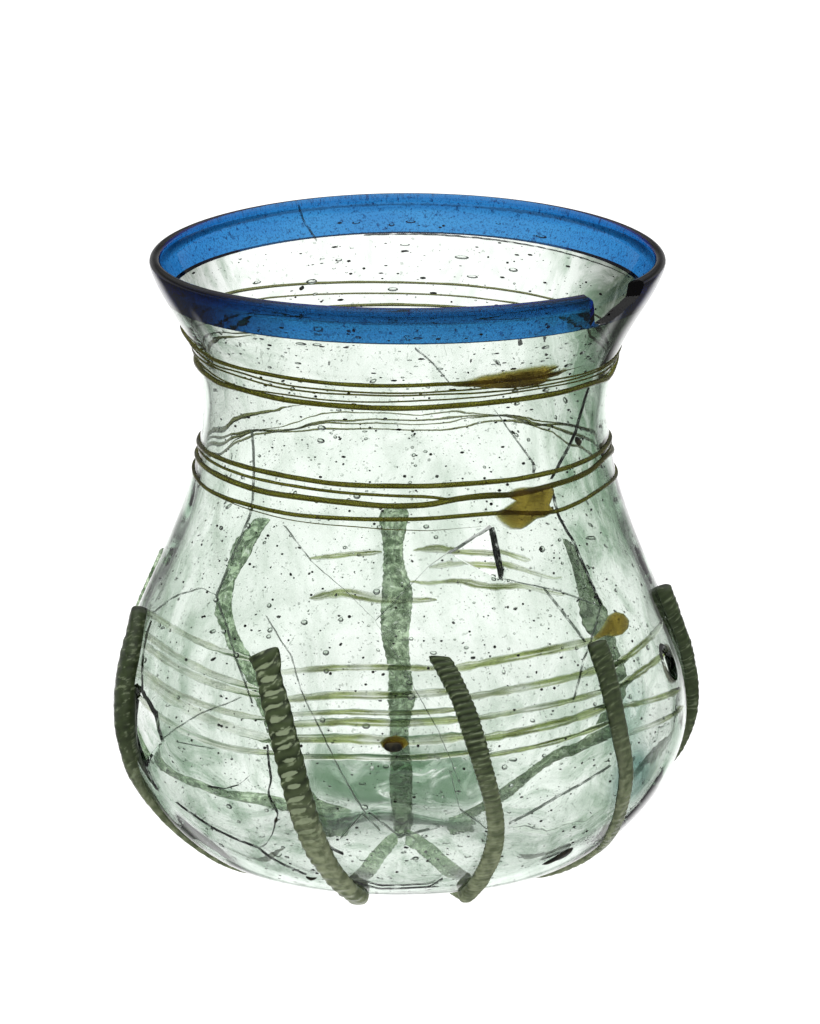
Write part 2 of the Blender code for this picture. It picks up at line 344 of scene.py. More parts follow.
def smoothly(stops, where):              # a smooth curve through (place, value) stops
    stops = sorted(stops)
    at = np.array([stop[0] for stop in stops], float)
    value = np.array([stop[1] for stop in stops], float)
    slope = np.gradient(value, at) if len(at) > 1 else np.zeros(1)
    i = np.clip(np.searchsorted(at, where) - 1, 0, len(at) - 2)
    span = at[i + 1] - at[i]
    t = np.clip((where - at[i]) / span, 0, 1)
    rise = value[i + 1] - value[i]
    a = slope[i] * span - rise
    b = -slope[i + 1] * span + rise
    return (1 - t) * value[i] + t * value[i + 1] + t * (1 - t) * (a * (1 - t) + b * t)


def straight(stops, where):              # straight lines through sorted (place, value) stops
    return np.interp(where, *zip(*stops))


# Shader helpers
class Wire:                              # a socket that sums can be written with
    def __init__(self, graph, socket):
        self.graph = graph
        self.socket = socket

    def maths(self, operation, *others):
        return self.graph.maths(operation, self, *others)

    def __add__(self, other):
        return self.maths("ADD", other)

    def __radd__(self, other):
        return self.graph.maths("ADD", other, self)

    def __sub__(self, other):
        return self.maths("SUBTRACT", other)

    def __rsub__(self, other):
        return self.graph.maths("SUBTRACT", other, self)

    def __mul__(self, other):
        return self.maths("MULTIPLY", other)

    def __rmul__(self, other):
        return self.graph.maths("MULTIPLY", other, self)

    def __truediv__(self, other):
        return self.maths("DIVIDE", other)

    def __rtruediv__(self, other):
        return self.graph.maths("DIVIDE", other, self)


class Graph:                             # the nodes of one material, or of the world
    def __init__(self, name, kind="Material"):
        self.owner = bpy.data.worlds.new(name) if kind == "World" else bpy.data.materials.new(name)
        self.owner.use_nodes = True
        self.tree = self.owner.node_tree
        self.tree.nodes.clear()
        self.output = self.tree.nodes.new("ShaderNodeOutput" + kind)

    def node(self, kind, settings=None, values=None, out=0):
        made = self.tree.nodes.new(kind)
        for name, value in (settings or {}).items():
            if name == "stops":
                self.setStops(made.color_ramp, value)
            else:
                setattr(made, name, value)
        for key, value in (values or {}).items():
            if isinstance(value, Wire):
                self.tree.links.new(value.socket, made.inputs[key])
            else:
                made.inputs[key].default_value = value
        return Wire(self, made.outputs[out])

    def maths(self, operation, *values):
        return self.node("ShaderNodeMath", {"operation": operation}, dict(enumerate(values)))

    def setStops(self, ramp, stops):
        while len(ramp.elements) < len(stops):
            ramp.elements.new(0.5)
        for element, (position, colour) in zip(ramp.elements, stops):
            element.position = position
            element.color = (*colour, 1)

    def step(self, value, low, high):
        return self.node("ShaderNodeMapRange", {"interpolation_type": "SMOOTHSTEP"},
                         {"Value": value, "From Min": low, "From Max": high})

    def mix(self, share, first, second):
        first = first if isinstance(first, Wire) else (*first, 1)
        second = second if isinstance(second, Wire) else (*second, 1)
        return self.node("ShaderNodeMix", {"data_type": "RGBA"}, {0: share, 6: first, 7: second}, out=2)

    def place(self, source="Object"):
        return self.node("ShaderNodeTexCoord", out=source)

    def weave(self):
        return self.node("ShaderNodeUVMap")

    def axis(self, vector, name):
        return self.node("ShaderNodeSeparateXYZ", None, {0: vector}, out=name)

    def stretched(self, vector, *scale):
        return self.node("ShaderNodeMapping", None, {0: vector, 3: scale})

    def cloud(self, vector, scale, detail=2.0, rough=0.5, swirl=0.0):
        return self.node("ShaderNodeTexNoise", None, {
            "Vector": vector, "Scale": scale, "Detail": detail, "Roughness": rough, "Distortion": swirl})

    def near(self, vector, spot, stretch, low, high):    # fades in from low to high distance from a spot
        middle = [place * scale for place, scale in zip(spot, stretch)]
        apart = self.node("ShaderNodeVectorMath", {"operation": "DISTANCE"},
                          {0: self.stretched(vector, *stretch), 1: middle}, out="Value")
        return self.step(apart, low, high)

    def bump(self, height, distance, strength=1.0):
        return self.node("ShaderNodeBump", None,
                         {"Height": height, "Distance": distance, "Strength": strength})

    def glass(self, values):
        return self.node("ShaderNodeBsdfPrincipled", None, values)

    def finish(self, shader, absorbs=None):
        self.tree.links.new(shader.socket, self.output.inputs["Surface"])
        if absorbs:
            volume = self.node("ShaderNodeVolumeAbsorption", None,
                               {"Color": (*absorbs["colour"], 1), "Density": absorbs["density"]})
            self.tree.links.new(volume.socket, self.output.inputs["Volume"])
        return self.owner


# The bowl: one turned shell with its wall, cut where sherds are missing
bowl = {
    "steps": 168,
    "stations": (8, 22, 30, 12),         # on the underside, up to the belly, up to the neck, up to the rim
    "baseWall": 1.18,                    # how much thicker the wall grows towards the base
    "thickBelow": 15 * mm,
    "unevenWall": 0.10,
    "unevenLength": 20 * mm,
    "ripple": 0.10 * mm,                 # waves on the inside of the blown wall
    "rippleLength": 6 * mm,
    "slant": -0.5 * mm,                  # bowl and rim meet on a slant: the inside edge lies lower
    "joint": 0.03 * mm,                  # the fine line between bowl and rim
    "clear": (0.985, 0.995, 0.98),
    "cloudAndShade": (0.30, 0.42, 0.31),
    "shadePool": (0.11, 0.21, 0.12),          # painted shade: a darker green pool in the thick glass at the back of the base
    "shadePoolPlace": (-1 * mm, 27 * mm, 4 * mm),
    # painted shade under the rim at both sides
    "underRimShade": (0.02, 0.035, 0.015),
    "seeds": (0.10, 0.14, 0.10),
    "behindHole": (0.03, 0.03, 0.015),
    "tealShade": ((635, 778, (0.20, 0.32, 0.29)), (626, 716, (0.42, 0.54, 0.48))),    # painted shade: teal patches, by pixel
    "insideWall": -0.6 * mm,             # the depth at which a patch of colour is centred
    "absorbs": {"colour": (0.0, 0.38, 0.10), "density": 58},
}
# Where the bowl's glass is missing. Corners are (angle, millimetres above the widest height).
breaks = {
    "triangle": ((11.9, 29.4), (23.9, 32.6), (25.2, 25.2)),
    "strip": ((-70, 6.0), (-66, 5.6), (-59, 3.7), (-55.5, 0.0), (-60, -2.6), (-63.8, -5.0), (-62.3, -8.4),
              (-66.5, -5.5), (-70, -1.4)),
    "ovalAngle": 74.6,
    "ovalRise": 8.4,
    "ovalHalfAngle": 3.2,
    "ovalHalfHeight": 2.7,
    "ovalTilt": 0.35,
    "ovalCorners": 24,
    "reach": 3 * mm,                     # how far a cutter goes past the wall, in and out
    "parts": 5,                          # a straight side is broken into this many
    "jag": 0.12,                         # how far a broken edge strays, in degrees and millimetres
    "seed": 1,
}


def ovalOutline():
    found = []
    for i in range(breaks["ovalCorners"]):
        turn = math.tau * i / breaks["ovalCorners"]
        across = breaks["ovalHalfAngle"] * (math.cos(turn) - breaks["ovalTilt"] * math.sin(turn))
        found.append((breaks["ovalAngle"] + across,
                      breaks["ovalRise"] + breaks["ovalHalfHeight"] * math.sin(turn)))
    return found


def broken(ring):                        # straight sides, each a little uneven
    chance = random.Random(breaks["seed"])
    found = []
    for (a, h), (b, g) in zip(ring, ring[1:] + ring[:1]):
        for i in range(breaks["parts"]):
            share = i / breaks["parts"]
            stray = breaks["jag"] if i else 0
            found.append((a + (b - a) * share + chance.uniform(-stray, stray),
                          h + (g - h) * share + chance.uniform(-stray, stray)))
    return found


def plug(name, inner, outer):            # a cutter through the wall, from two rings of (angle, height)
    def place(u, v):
        i = np.round(u * len(inner)).astype(int) % len(inner)
        spots = []
        for ring, side in ((inner, -1), (outer, 1)):
            angle = np.array([corner[0] for corner in ring])[i]
            height = np.array([corner[1] for corner in ring])[i]
            radius = np.interp(height, outline[ringIndex:, 1], outline[ringIndex:, 0])
            spots.append(toRow(angle, radius + side * breaks["reach"], height))
        return np.where(v[:, None] < 0.5, spots[0], spots[1])
    return rolled(name, len(inner), 1, place)


def breakOutlines():
    found = {}
    for name in ("triangle", "strip"):
        found[name] = broken(breaks[name])
    found["oval"] = ovalOutline()
    lift = form["bellyHeight"]
    return {name: [(a, lift + h * mm) for a, h in ring] for name, ring in found.items()}


def settle(piece):                       # a turned shape gets the beaker's lean and stands on its axis
    places = corners(piece)
    angle = np.degrees(np.arctan2(places[:, 0], -places[:, 1]))
    radius = np.hypot(places[:, 0], places[:, 1])
    setCorners(piece, toRow(angle, radius, places[:, 2]))


def slantEdge(places, ring, along, depth):
    radius, height = liftedOff(along, -depth)
    for i in ring:
        places[i, :2] *= radius / math.hypot(places[i, 0], places[i, 1])
        places[i, 2] = height


def makeBowl():
    stops = [0.0, ringAlong, alongAt(form["bellyHeight"]), alongAt(form["neckHeight"]), alongAt(bandStart)]
    alongs = [0.0]
    for low, high, count in zip(stops, stops[1:], bowl["stations"]):
        alongs += list(np.linspace(low, high, count + 1)[1:])
    alongs = np.array(alongs)
    profile = list(zip(radiusAt(alongs), heightAt(alongs)))
    piece = lathe("blown_bowl", profile, bowl["steps"])
    outside = corners(piece)
    group = piece.vertex_groups.new(name="thickness")
    thick = np.clip((bowl["thickBelow"] - outside[:, 2]) / (bowl["thickBelow"] - glassBottom), 0, 1)
    thick = thick * thick * (3 - 2 * thick)
    for i, place in enumerate(outside):
        uneven = noise.noise(Vector(place) / bowl["unevenLength"]) * bowl["unevenWall"]
        share = (1 + (bowl["baseWall"] - 1) * thick[i] + uneven) / bowl["baseWall"]
        group.add([i], min(max(share, 0), 1), "REPLACE")
    shell = piece.modifiers.new("wall", "SOLIDIFY")
    shell.thickness = form["wall"] * bowl["baseWall"]
    shell.offset = -1
    shell.vertex_group = group.name
    applyAll(piece)
    places = corners(piece)
    for i in range(len(outside), len(places)):
        spot = Vector(places[i])
        wave = noise.noise(spot / bowl["rippleLength"]) * bowl["ripple"]
        outward = Vector((spot.x, spot.y, 0))
        if outward.length > mm:
            places[i] += np.array(outward.normalized()) * wave
    top = np.nonzero(outside[:, 2] > outside[:, 2].max() - 0.01 * mm)[0]
    slantEdge(places, top, alongAt(bandStart) - bowl["slant"] / 2, 0)
    slantEdge(places, top + len(outside), alongAt(bandStart) + bowl["slant"] / 2, form["wall"])
    setCorners(piece, places)
    settle(piece)
    for ring in breakOutlines().values():
        cutOut(piece, plug("sherd", ring, ring))
    return piece


def bowlGlass():
    g = Graph("pale_green_glass")
    place = g.place()
    across, height = g.axis(place, "X"), g.axis(place, "Z")
    cords = g.cloud(g.stretched(place, 1, 1, 0.45), 130, 5, 0.62, 1.4)
    # clouds of green, denser low down; at the sides and at two places near the neck they are painted denser
    # as shade towards the beaker's edges
    low = g.step(height, 25 * mm, 5 * mm)
    rightNeckShade = g.step(across, 17 * mm, 27 * mm) * g.step(height, 42 * mm, 56 * mm)
    leftNeckShade = g.step(across, -16 * mm, -27 * mm) * g.step(height, 74 * mm, 79 * mm)
    # painted shade: denser towards the beaker's left and right edges
    sides = g.step(across.maths("ABSOLUTE"), 18 * mm, 38 * mm)
    densityAndShade = low * 0.5 + rightNeckShade * 0.5 + leftNeckShade * 0.4 + sides * 0.4 + 0.28
    shade = g.step(cords, 0.43, 0.68) * densityAndShade + rightNeckShade * 0.25
    tint = g.mix(shade, bowl["clear"], bowl["cloudAndShade"])
    # painted shade: a darker green pool at the back of the base
    shadePool = g.near(place, bowl["shadePoolPlace"], (0.55, 0.8, 1.1), 11 * mm, 5 * mm)
    tint = g.mix(shadePool * g.step(cords, 0.32, 0.50) * 0.95, tint, bowl["shadePool"])
    # painted shade: the wall is painted dark at both sides just under the rim
    underRimShade = g.step(height, 73 * mm, 80 * mm) * (
        g.step(across, 23 * mm, 31 * mm) + g.step(across, -24 * mm, -33 * mm) * 0.7)
    tint = g.mix(underRimShade * (g.step(cords, 0.35, 0.60) * 0.4 + 0.55), tint, bowl["underRimShade"])
    seeds = g.step(g.cloud(place, 1500, 2, 0.5), 0.665, 0.72)
    tint = g.mix(seeds * 0.6, tint, bowl["seeds"])
    holeAlong = alongAt(form["bellyHeight"] + breaks["ovalRise"] * mm)
    hole = onWall(breaks["ovalAngle"], holeAlong, bowl["insideWall"])
    tint = g.mix(g.near(place, hole, (1, 1, 0.87), 2.75 * mm, 2.45 * mm), tint, bowl["behindHole"])
    # painted shade: teal patches on the front wall, placed by pixel
    for x, y, colour in bowl["tealShade"]:
        spot = onWall(*fromPhoto(x, y), bowl["insideWall"])
        patch = g.near(place, spot, (0.8, 0.4, 0.6), 4.4 * mm, 1.4 * mm)
        tint = g.mix(patch * g.step(cords, 0.28, 0.5), tint, colour)
    gloss = g.step(g.cloud(place, 160, 3), 0.45, 0.8) * 0.03 + 0.004
    waves = g.bump(g.cloud(place, 130, 2, 0.4, 0.4), 0.07 * mm, 0.5)
    shader = g.glass({
        "Base Color": tint, "Roughness": gloss, "IOR": 1.5, "Transmission Weight": 1.0, "Normal": waves})
    return g.finish(shader, bowl["absorbs"])


bowlPiece = makeBowl()
smooth(bowlPiece)
finishPiece(bowlPiece, bowlGlass(), "pale_green_glass", "bowl")
print("bowl:", len(bowlPiece.data.polygons), "faces")

# The rim: the blue band and its rounded lip, with the chip out of it
rim = {
    "steps": 168,
    "stations": 12,
    "beadCorners": 11,
    "beadSweep": 188,
    "blend": 1.6 * mm,                   # the inside runs straight into the bead over this length
    "bead": 0.82 * mm,
    # the chip's edge inside and outside: degrees, and shares of the band's height down from the lip
    "chipInner": ((43.3, -0.60), (43.6, 0.03), (45.2, 0.16), (47.5, 0.62), (49.0, 0.86), (50.0, 0.95),
                  (50.5, 0.90), (53.8, 0.64), (58.3, 0.42), (58.8, 0.05), (60.8, -0.60)),
    "chipOuter": ((43.3, -0.60), (43.6, 0.03), (45.2, 0.16), (47.5, 0.62), (49.0, 0.86), (53.0, 0.95),
                  (59.5, 0.90), (65.2, 0.64), (69.7, 0.42), (70.2, 0.05), (72.2, -0.60)),
    "light": (0.80, 0.83, 0.84),
    "streaks": (0.42, 0.53, 0.68),
    # painted shade: darker in front, along the bead and at the sides
    "front": (0.30, 0.50, 0.50),
    "beadShade": (0.12, 0.17, 0.26),
    "sideShade": (0.02, 0.05, 0.14),
    "flecks": (0.02, 0.04, 0.10),
    "absorbs": {"colour": (0.0, 0.60, 0.86), "density": 2200},
}


def makeRim():
    start = alongAt(bandStart) + bowl["joint"]
    bead = rim["bead"]
    slant = bowl["slant"] / 2
    runs = ((start - slant, lipAlong, 0), (start + slant, lipAlong - rim["blend"], form["wall"]))
    outer, inner = ([liftedOff(along, -depth) for along in np.linspace(low, high, rim["stations"] + 1)[:-1]]
                    for low, high, depth in runs)
    middle = (form["lipRadius"] - bead, lipHeight - bead)
    turns = np.radians(np.linspace(0, rim["beadSweep"], rim["beadCorners"]))
    lip = [(middle[0] + bead * math.cos(turn), middle[1] + bead * math.sin(turn)) for turn in turns]
    piece = lathe("blue_rim", outer[::-1] + inner + lip[::-1], rim["steps"], closed=True)
    settle(piece)
    band = lipHeight - bandStart
    rings = [[(a, lipHeight - drop * band) for a, drop in rim[side]] for side in ("chipInner", "chipOuter")]
    cutOut(piece, plug("chip", *rings))
    return piece


def rimGlass():
    g = Graph("cobalt_blue_glass")
    place = g.place()
    height = g.axis(place, "Z")
    streak = g.cloud(g.stretched(place, 90, 90, 1100), 1.0, 4)
    tint = g.mix(g.step(streak, 0.40, 0.68) * 0.45, rim["light"], rim["streaks"])
    across = g.axis(place, "X")
    # painted shade: the band is painted darker in front, and darkest along its bead and towards its sides
    front = g.step(g.axis(place, "Y"), 6 * mm, -10 * mm)
    high = g.step(height, lipHeight - 4.5 * mm, lipHeight - 1.0 * mm)
    tint = g.mix(front * (high * 0.55 + 0.25), tint, rim["front"])
    bead = g.step(height, lipHeight - 1.9 * mm, lipHeight - 1.3 * mm)
    tint = g.mix(bead * (front * 0.45 + 0.2), tint, rim["beadShade"])
    ends = g.step(across, -13 * mm, -30 * mm) + g.step(across, 24 * mm, 31 * mm)
    tint = g.mix(front * ends * 0.93, tint, rim["sideShade"])
    specks = g.step(g.cloud(place, 1300, 2), 0.61, 0.69)
    flecks = g.step(g.cloud(place, 3600, 2), 0.54, 0.64) * 0.55
    tint = g.mix(specks * 0.7 + flecks, tint, rim["flecks"])
    gloss = g.step(g.cloud(place, 300, 3), 0.45, 0.75) * 0.05 + 0.01
    waves = g.bump(g.cloud(place, 420, 2), 0.03 * mm, 0.5)
    shader = g.glass({
        "Base Color": tint, "Roughness": gloss, "IOR": 1.5, "Specular IOR Level": 0.15,
        "Transmission Weight": 1.0, "Normal": waves})
    return g.finish(shader, rim["absorbs"])


rimPiece = makeRim()
smooth(rimPiece)
finishPiece(rimPiece, rimGlass(), "cobalt_blue_glass", "rim")
print("rim:", len(rimPiece.data.polygons), "faces")

# The threads wound round the neck. Each pass is read off the photograph across the front, right to left,
# with its width there in millimetres; back holds the pixel each pass crosses at the back.
threads = {
    "sides": 8,
    "stepsRound": 110,
    "sink": 0.15 * mm,
    "thickness": 0.55 * mm,
    "full": 0.85 * mm,                   # the width at which a thread is that thick
    "wander": 0.05 * mm,
    "slowWave": 9,                       # degrees of a turn
    "quickWave": 2.5,
    "quickShare": 0.6,
    "unevenWidth": 0.16,
    "hold": 60,                          # the width in front holds this many degrees to each side
    "nearest": 0.5,                      # degrees between the spots that a thread runs through, at the least
    "taper": 1 / 60,                     # each end tapers over this share of the thread
    "streakDegrees": 9,
    "olive": (0.10, 0.095, 0.006),
    "yellow": (0.20, 0.20, 0.03),
    # painted light: the passes at the back are paler, as if lit through the glass
    "litAtBack": (0.42, 0.44, 0.20),
    "upper": {
        "passes": (
            (((466, 382), (438, 383.7), (400, 385.2), (351, 384.3), (305, 379.8), (266, 373.3), (236, 366.4),
              (210, 356.4), (198, 347.5)), 0.62),
            (((623, 350), (614, 358), (584, 373.3), (545, 380.9), (476, 389), (438, 391.6), (400, 393.2),
              (366, 392.4), (322, 389.3), (282, 384), (236, 371), (213, 364), (202, 355.7)), 0.26),
            (((622, 355), (584, 375.8), (545, 384.7), (476, 393), (438, 394.2), (400, 395.6), (366, 394.9),
              (322, 392.9), (282, 387.8), (236, 375.1), (203, 361)), 0.26),
            (((621, 360), (585, 379), (538, 388.6), (492, 395.5), (438, 399.8), (400, 401.4),
              (366, 401.9), (328, 400), (282, 394), (244, 387.8), (213, 374), (204, 366.4)), 0.22),
            (((619, 363.5), (611, 371.7), (591, 382.5), (553, 393.2), (500, 400.8), (446, 405.7),
              (400, 407.7), (366, 406.9), (322, 403.6), (282, 398.5), (244, 389), (221, 382.5),
              (206, 372.5)), 0.88)),
        "back": ((400, 283), (400, 294), (400, 305), (400, 312)),
        "backWidths": (0.35, 0.25, 0.45, 0.3),
        "tails": (54, -140)},
    "lower": {
        "passes": (
            (((488, 525.8), (464, 527.8), (430, 530.5), (400, 529.8), (350, 526.5), (299, 521.3),
              (228, 501.2), (196, 478.5)), 0.15),
            (((616, 470.9), (597, 491), (577, 503), (557, 511), (500, 513), (463, 515.8), (430, 518.4),
              (400, 519.4), (343, 518.4), (299, 515.2), (253, 506), (209, 489.7), (196, 476.3)), 0.62),
            (((615, 449), (604, 457.5), (584, 473.6), (550, 485.6), (510, 494.7), (488, 495.7),
              (450, 500.2), (438, 503), (400, 506), (343, 502.2), (299, 497), (266, 492), (237, 483),
              (211, 470.6), (197, 451)), 0.86),
            (((614, 441), (604, 457), (584, 473.2), (550, 485.3), (510, 494.2), (488, 495.2),
              (450, 499.5), (435, 497.6), (400, 496), (343, 492.6), (299, 486.9), (253, 477.7),
              (226, 468.7), (198, 443)), 0.45),
            (((613.5, 436), (601, 450.8), (584, 460.8), (564, 468.2), (544, 473.6), (517, 478.9),
              (477, 482.9), (430, 485.9), (400, 486), (343, 484.4), (299, 478.3), (253, 468.7),
              (218, 457), (199, 440)), 0.74)),
        "back": ((400, 404), (400, 411), (400, 416), (400, 424)),
        "backWidths": (0.12, 0.25, 0.15, 0.25),
        "tails": (26, -150)},
}


def makeThread(name, spec):
    knots = []
    widths = []
    for turn, (line, width) in enumerate(spec["passes"]):
        for x, y in line:
            angle, along = fromPhoto(x, y)
            knots.append((-angle + 360 * turn, along))
        widths += [(360 * turn + to * threads["hold"], width) for to in (-1, 1)]
    for turn, ((x, y), width) in enumerate(zip(spec["back"], spec["backWidths"])):
        knots.append((180 + 360 * turn, fromPhoto(x, y, "back")[1]))
        widths.append((180 + 360 * turn, width))
    knots.sort()
    knots = [knot for knot, before in zip(knots[1:], knots) if knot[0] - before[0] > threads["nearest"]]
    start = -spec["tails"][0]
    end = 360 * (len(spec["passes"]) - 1) - spec["tails"][1]

    def place(u, v):
        turned = start + (end - start) * v
        slow = np.array([noise.noise(Vector((t / threads["slowWave"], 0, 4.0))) for t in turned])
        quick = np.array([noise.noise(Vector((t / threads["quickWave"], 3.0, 0))) for t in turned])
        stray = slow + threads["quickShare"] * quick
        along = smoothly(knots, turned) + stray * threads["wander"]
        width = straight(sorted(widths), turned) * mm * (1 + threads["unevenWidth"] * stray)
        ends = np.clip(np.minimum(v, 1 - v) / threads["taper"], 0.05, 1)
        thick = threads["thickness"] * np.clip(width / threads["full"], 0.35, 1) * ends
        turn = u * math.tau
        lift = (0.5 + 0.5 * np.sin(turn)) * (thick + threads["sink"]) - threads["sink"]
        return onWall(-turned, along + np.cos(turn) * width / 2 * ends, lift)

    stations = int(threads["stepsRound"] * (end - start) / 360)
    return rolled(name, threads["sides"], stations, place, (1, (end - start) / threads["streakDegrees"]))


# Pads of glass: where the threads start, and two smaller ones on the belly. Outlines are pixels, and
# thicknesses are millimetres. Stones, chips and pits are smaller, dark and drawn in the same way.
pads = {
    "sides": 72,
    "rings": 9,
    "rounded": 0.0,
    "sink": 0.35 * mm,
    "amber": (0.050, 0.029, 0.001),
    "lightAmber": (0.12, 0.074, 0.003),
    "edge": (0.14, 0.145, 0.02),
    "upper": {"thickness": 0.75, "outline": (
        (438, 384), (452, 381.6), (466, 379.2), (480, 375.1), (498, 371), (522, 366.8), (545, 364),
        (559, 363.3), (560, 365.5), (550, 368.4), (556, 369.6), (568, 367.1), (568, 369.4), (560, 373.8),
        (546, 377.5), (552, 378.4), (538, 385), (507, 388.3), (486, 387.8), (466, 386), (452, 386))},
    "lower": {"thickness": 0.9, "outline": (
        (492, 512.5), (500, 509.5), (509, 504), (514, 500.5), (508, 497.5), (502, 494.5), (511, 489),
        (521, 486.6), (537, 485.2), (551, 483.6), (554, 489), (552, 498), (549, 506), (556, 510.6),
        (545, 517.8), (536, 519.5), (530, 524.5), (521, 530), (510, 529.8), (501, 524.5), (494, 518))},
    "belly": {"thickness": 0.35, "outline": (
        (592, 638), (599, 631), (604, 623), (608, 615), (616, 611), (624, 613), (630, 620), (629, 628),
        (623, 634.5), (614, 637), (605, 636.5), (597, 640))},
    "glow": {"thickness": 0.2, "outline": (
        (379, 742), (386, 737), (396, 735), (406, 738), (410, 744), (404, 749), (392, 750), (382, 748))},
}
stones = {
    "sides": 28,
    "rings": 5,
    "thickness": 0.3 * mm,
    "rounded": 0.07,                     # corners are blurred over this share of the way round
    "dark": (0.006, 0.006, 0.004),
    "brown": (0.035, 0.030, 0.012),
    "spots": {
        "stone": ((381, 745), (387, 741), (394, 742), (400, 740), (405, 744), (404, 750), (396, 753),
                  (386, 752)),
        "back": ((297, 289), (301, 286), (303, 289), (299, 292)),
        "chip": ((304, 876), (310, 878), (318, 878), (311, 880)),
        "pit": ((274, 820), (276, 817), (278, 821), (275, 824)),
        "edge": ((538, 867), (550, 860), (562, 853), (573, 846), (575, 850), (566, 856), (552, 862)),
        "nick": ((575, 438), (578, 436), (582, 441), (580, 447), (576, 443)),
    },
}


def makePatch(name, pixels, thickness, spec, side="front"):
    spots = [fromPhoto(x, y, side) for x, y in pixels]
    ring = np.array(spots + spots[:1])
    steps = np.hypot(np.diff(ring[:, 0]) * mm, np.diff(ring[:, 1]))
    reach = np.concatenate(([0], np.cumsum(steps))) / steps.sum()
    middle = ring[:-1].mean(axis=0)

    def place(u, v):
        swing = np.cos(v * math.pi / 2) ** 0.7
        rise = np.sin(v * math.pi / 2) ** 0.6
        shifted = [(u + shift) % 1 for shift in (-spec["rounded"], 0, spec["rounded"])]
        angle, along = (middle[i] + swing * sum(np.interp(at, reach, ring[:, i]) - middle[i]
                                                for at in shifted) / 3 for i in (0, 1))
        lumps = np.array([noise.noise(Vector((a * 0.6, l / mm * 0.7, 1.0))) for a, l in zip(angle, along)])
        sink = pads["sink"]
        return onWall(angle, along, rise * (thickness * (1 + 0.3 * lumps * swing) + sink) - sink)
    return rolled(name, spec["sides"], spec["rings"], place)


def threadGlass():
    g = Graph("yellow_thread_glass")
    place = g.place()
    streak = g.cloud(g.stretched(g.weave(), 5, 0.6, 1), 1.2, 3)
    colour = g.mix(g.step(streak, 0.35, 0.7), threads["olive"], threads["yellow"])
    grain = g.cloud(place, 900, 3)
    # painted light: the passes at the back are painted paler, as if lit through the glass
    colour = g.mix(g.step(g.axis(place, "Y"), 4 * mm, 20 * mm) * 0.7, colour, threads["litAtBack"])
    shader = g.glass({
        "Base Color": colour, "Roughness": grain * 0.2 + 0.15, "IOR": 1.25, "Transmission Weight": 0.7,
        "Coat Weight": 0.15, "Coat Roughness": 0.08, "Normal": g.bump(grain, 0.03 * mm, 0.6)})
    return g.finish(shader)


def padGlass():
    g = Graph("amber_pad_glass")
    place = g.place()
    inward = g.axis(g.weave(), "Y")
    haze = g.cloud(place, 260, 4)
    amber = g.mix(g.step(haze, 0.38, 0.62), pads["amber"], pads["lightAmber"])
    inside = g.step(inward + (haze - 0.5) * 0.5, 0.10, 0.60)
    colour = g.mix(inside, pads["edge"], amber)
    cover = g.step(inward + (haze - 0.5) * 0.3, 0.02, 0.38)
    shader = g.glass({
        "Base Color": colour, "Roughness": haze * 0.15 + 0.15, "IOR": 1.25, "Transmission Weight": 0.6,
        "Coat Weight": 0.15, "Coat Roughness": 0.05, "Alpha": cover,
        "Normal": g.bump(g.cloud(place, 500, 2), 0.03 * mm, 0.6)})
    return g.finish(shader)


def stoneGlass():
    g = Graph("dark_stone")
    grain = g.cloud(g.place(), 1500, 3)
    colour = g.mix(g.step(grain, 0.4, 0.7), stones["dark"], stones["brown"])
    shader = g.glass({"Base Color": colour, "Roughness": grain * 0.3 + 0.3})
    return g.finish(shader)


threadFinish = threadGlass()
padFinish = padGlass()
stoneFinish = stoneGlass()
for side in ("upper", "lower"):
    piece = makeThread("wound_thread_" + side, threads[side])
    smooth(piece, 60)
    finishPiece(piece, threadFinish, "yellow_thread_glass", "neck_thread_" + side)
for name in ("upper", "lower", "belly", "glow"):
    spec = pads[name]
    piece = makePatch("glass_pad_" + name, spec["outline"], spec["thickness"] * mm, pads)
    smooth(piece, 60)
    finishPiece(piece, padFinish, "yellow_thread_glass")
patches = []
for name, pixels in stones["spots"].items():
    wall = "back" if name == "back" else "front"
    patches.append(makePatch(name, pixels, stones["thickness"], stones, wall))
piece = joined("dark_stones", patches)
smooth(piece, 60)
finishPiece(piece, stoneFinish)
print("threads wound, pads and stones set")

# The twisted canes, each pressed along the wall and in under the base. A path is (height, angle, width) down
# the wall, or pixels down the middle of a cane that the photograph shows, with its width there and the angle
# of its foot.
caneShape = {
    "sides": 28,
    "stationsPerRidge": 8,
    "sunk": 1.0 * mm,                    # how deep a cane is pressed into the wall
    "endWidth": 0.5,
    "square": 0.75,                      # under 1 makes a squarer section
    "stray": 0.8,                        # how unevenly the ridges follow one another
    "lumps": 0.05,
    "rough": 0.035,
    "strayScale": 700,                   # waves of noise in a metre
    "lumpScale": 260,
    "roughScale": 1500,
    "topLength": 0.8 * mm,               # the ends are rounded off over these lengths
    "tailLength": 1.5 * mm,
    "leanLength": 3 * mm,
    # dark in the grooves, where shade is painted, and olive on the ridges
    "dark": (0.018, 0.030, 0.008),
    "olive": (0.065, 0.095, 0.032),
    # pale flecks: partly the cane's pale threads, partly painted highlight
    "pale": (0.50, 0.60, 0.36),
    "brown": (0.15, 0.185, 0.09),
    "tan": (0.36, 0.41, 0.23),
    "green": (0.13, 0.21, 0.11),
    "lightGreen": (0.55, 0.67, 0.48),
    "bubbles": (0.85, 0.93, 0.82),
    "faded": (0.94, 0.97, 0.93),
}
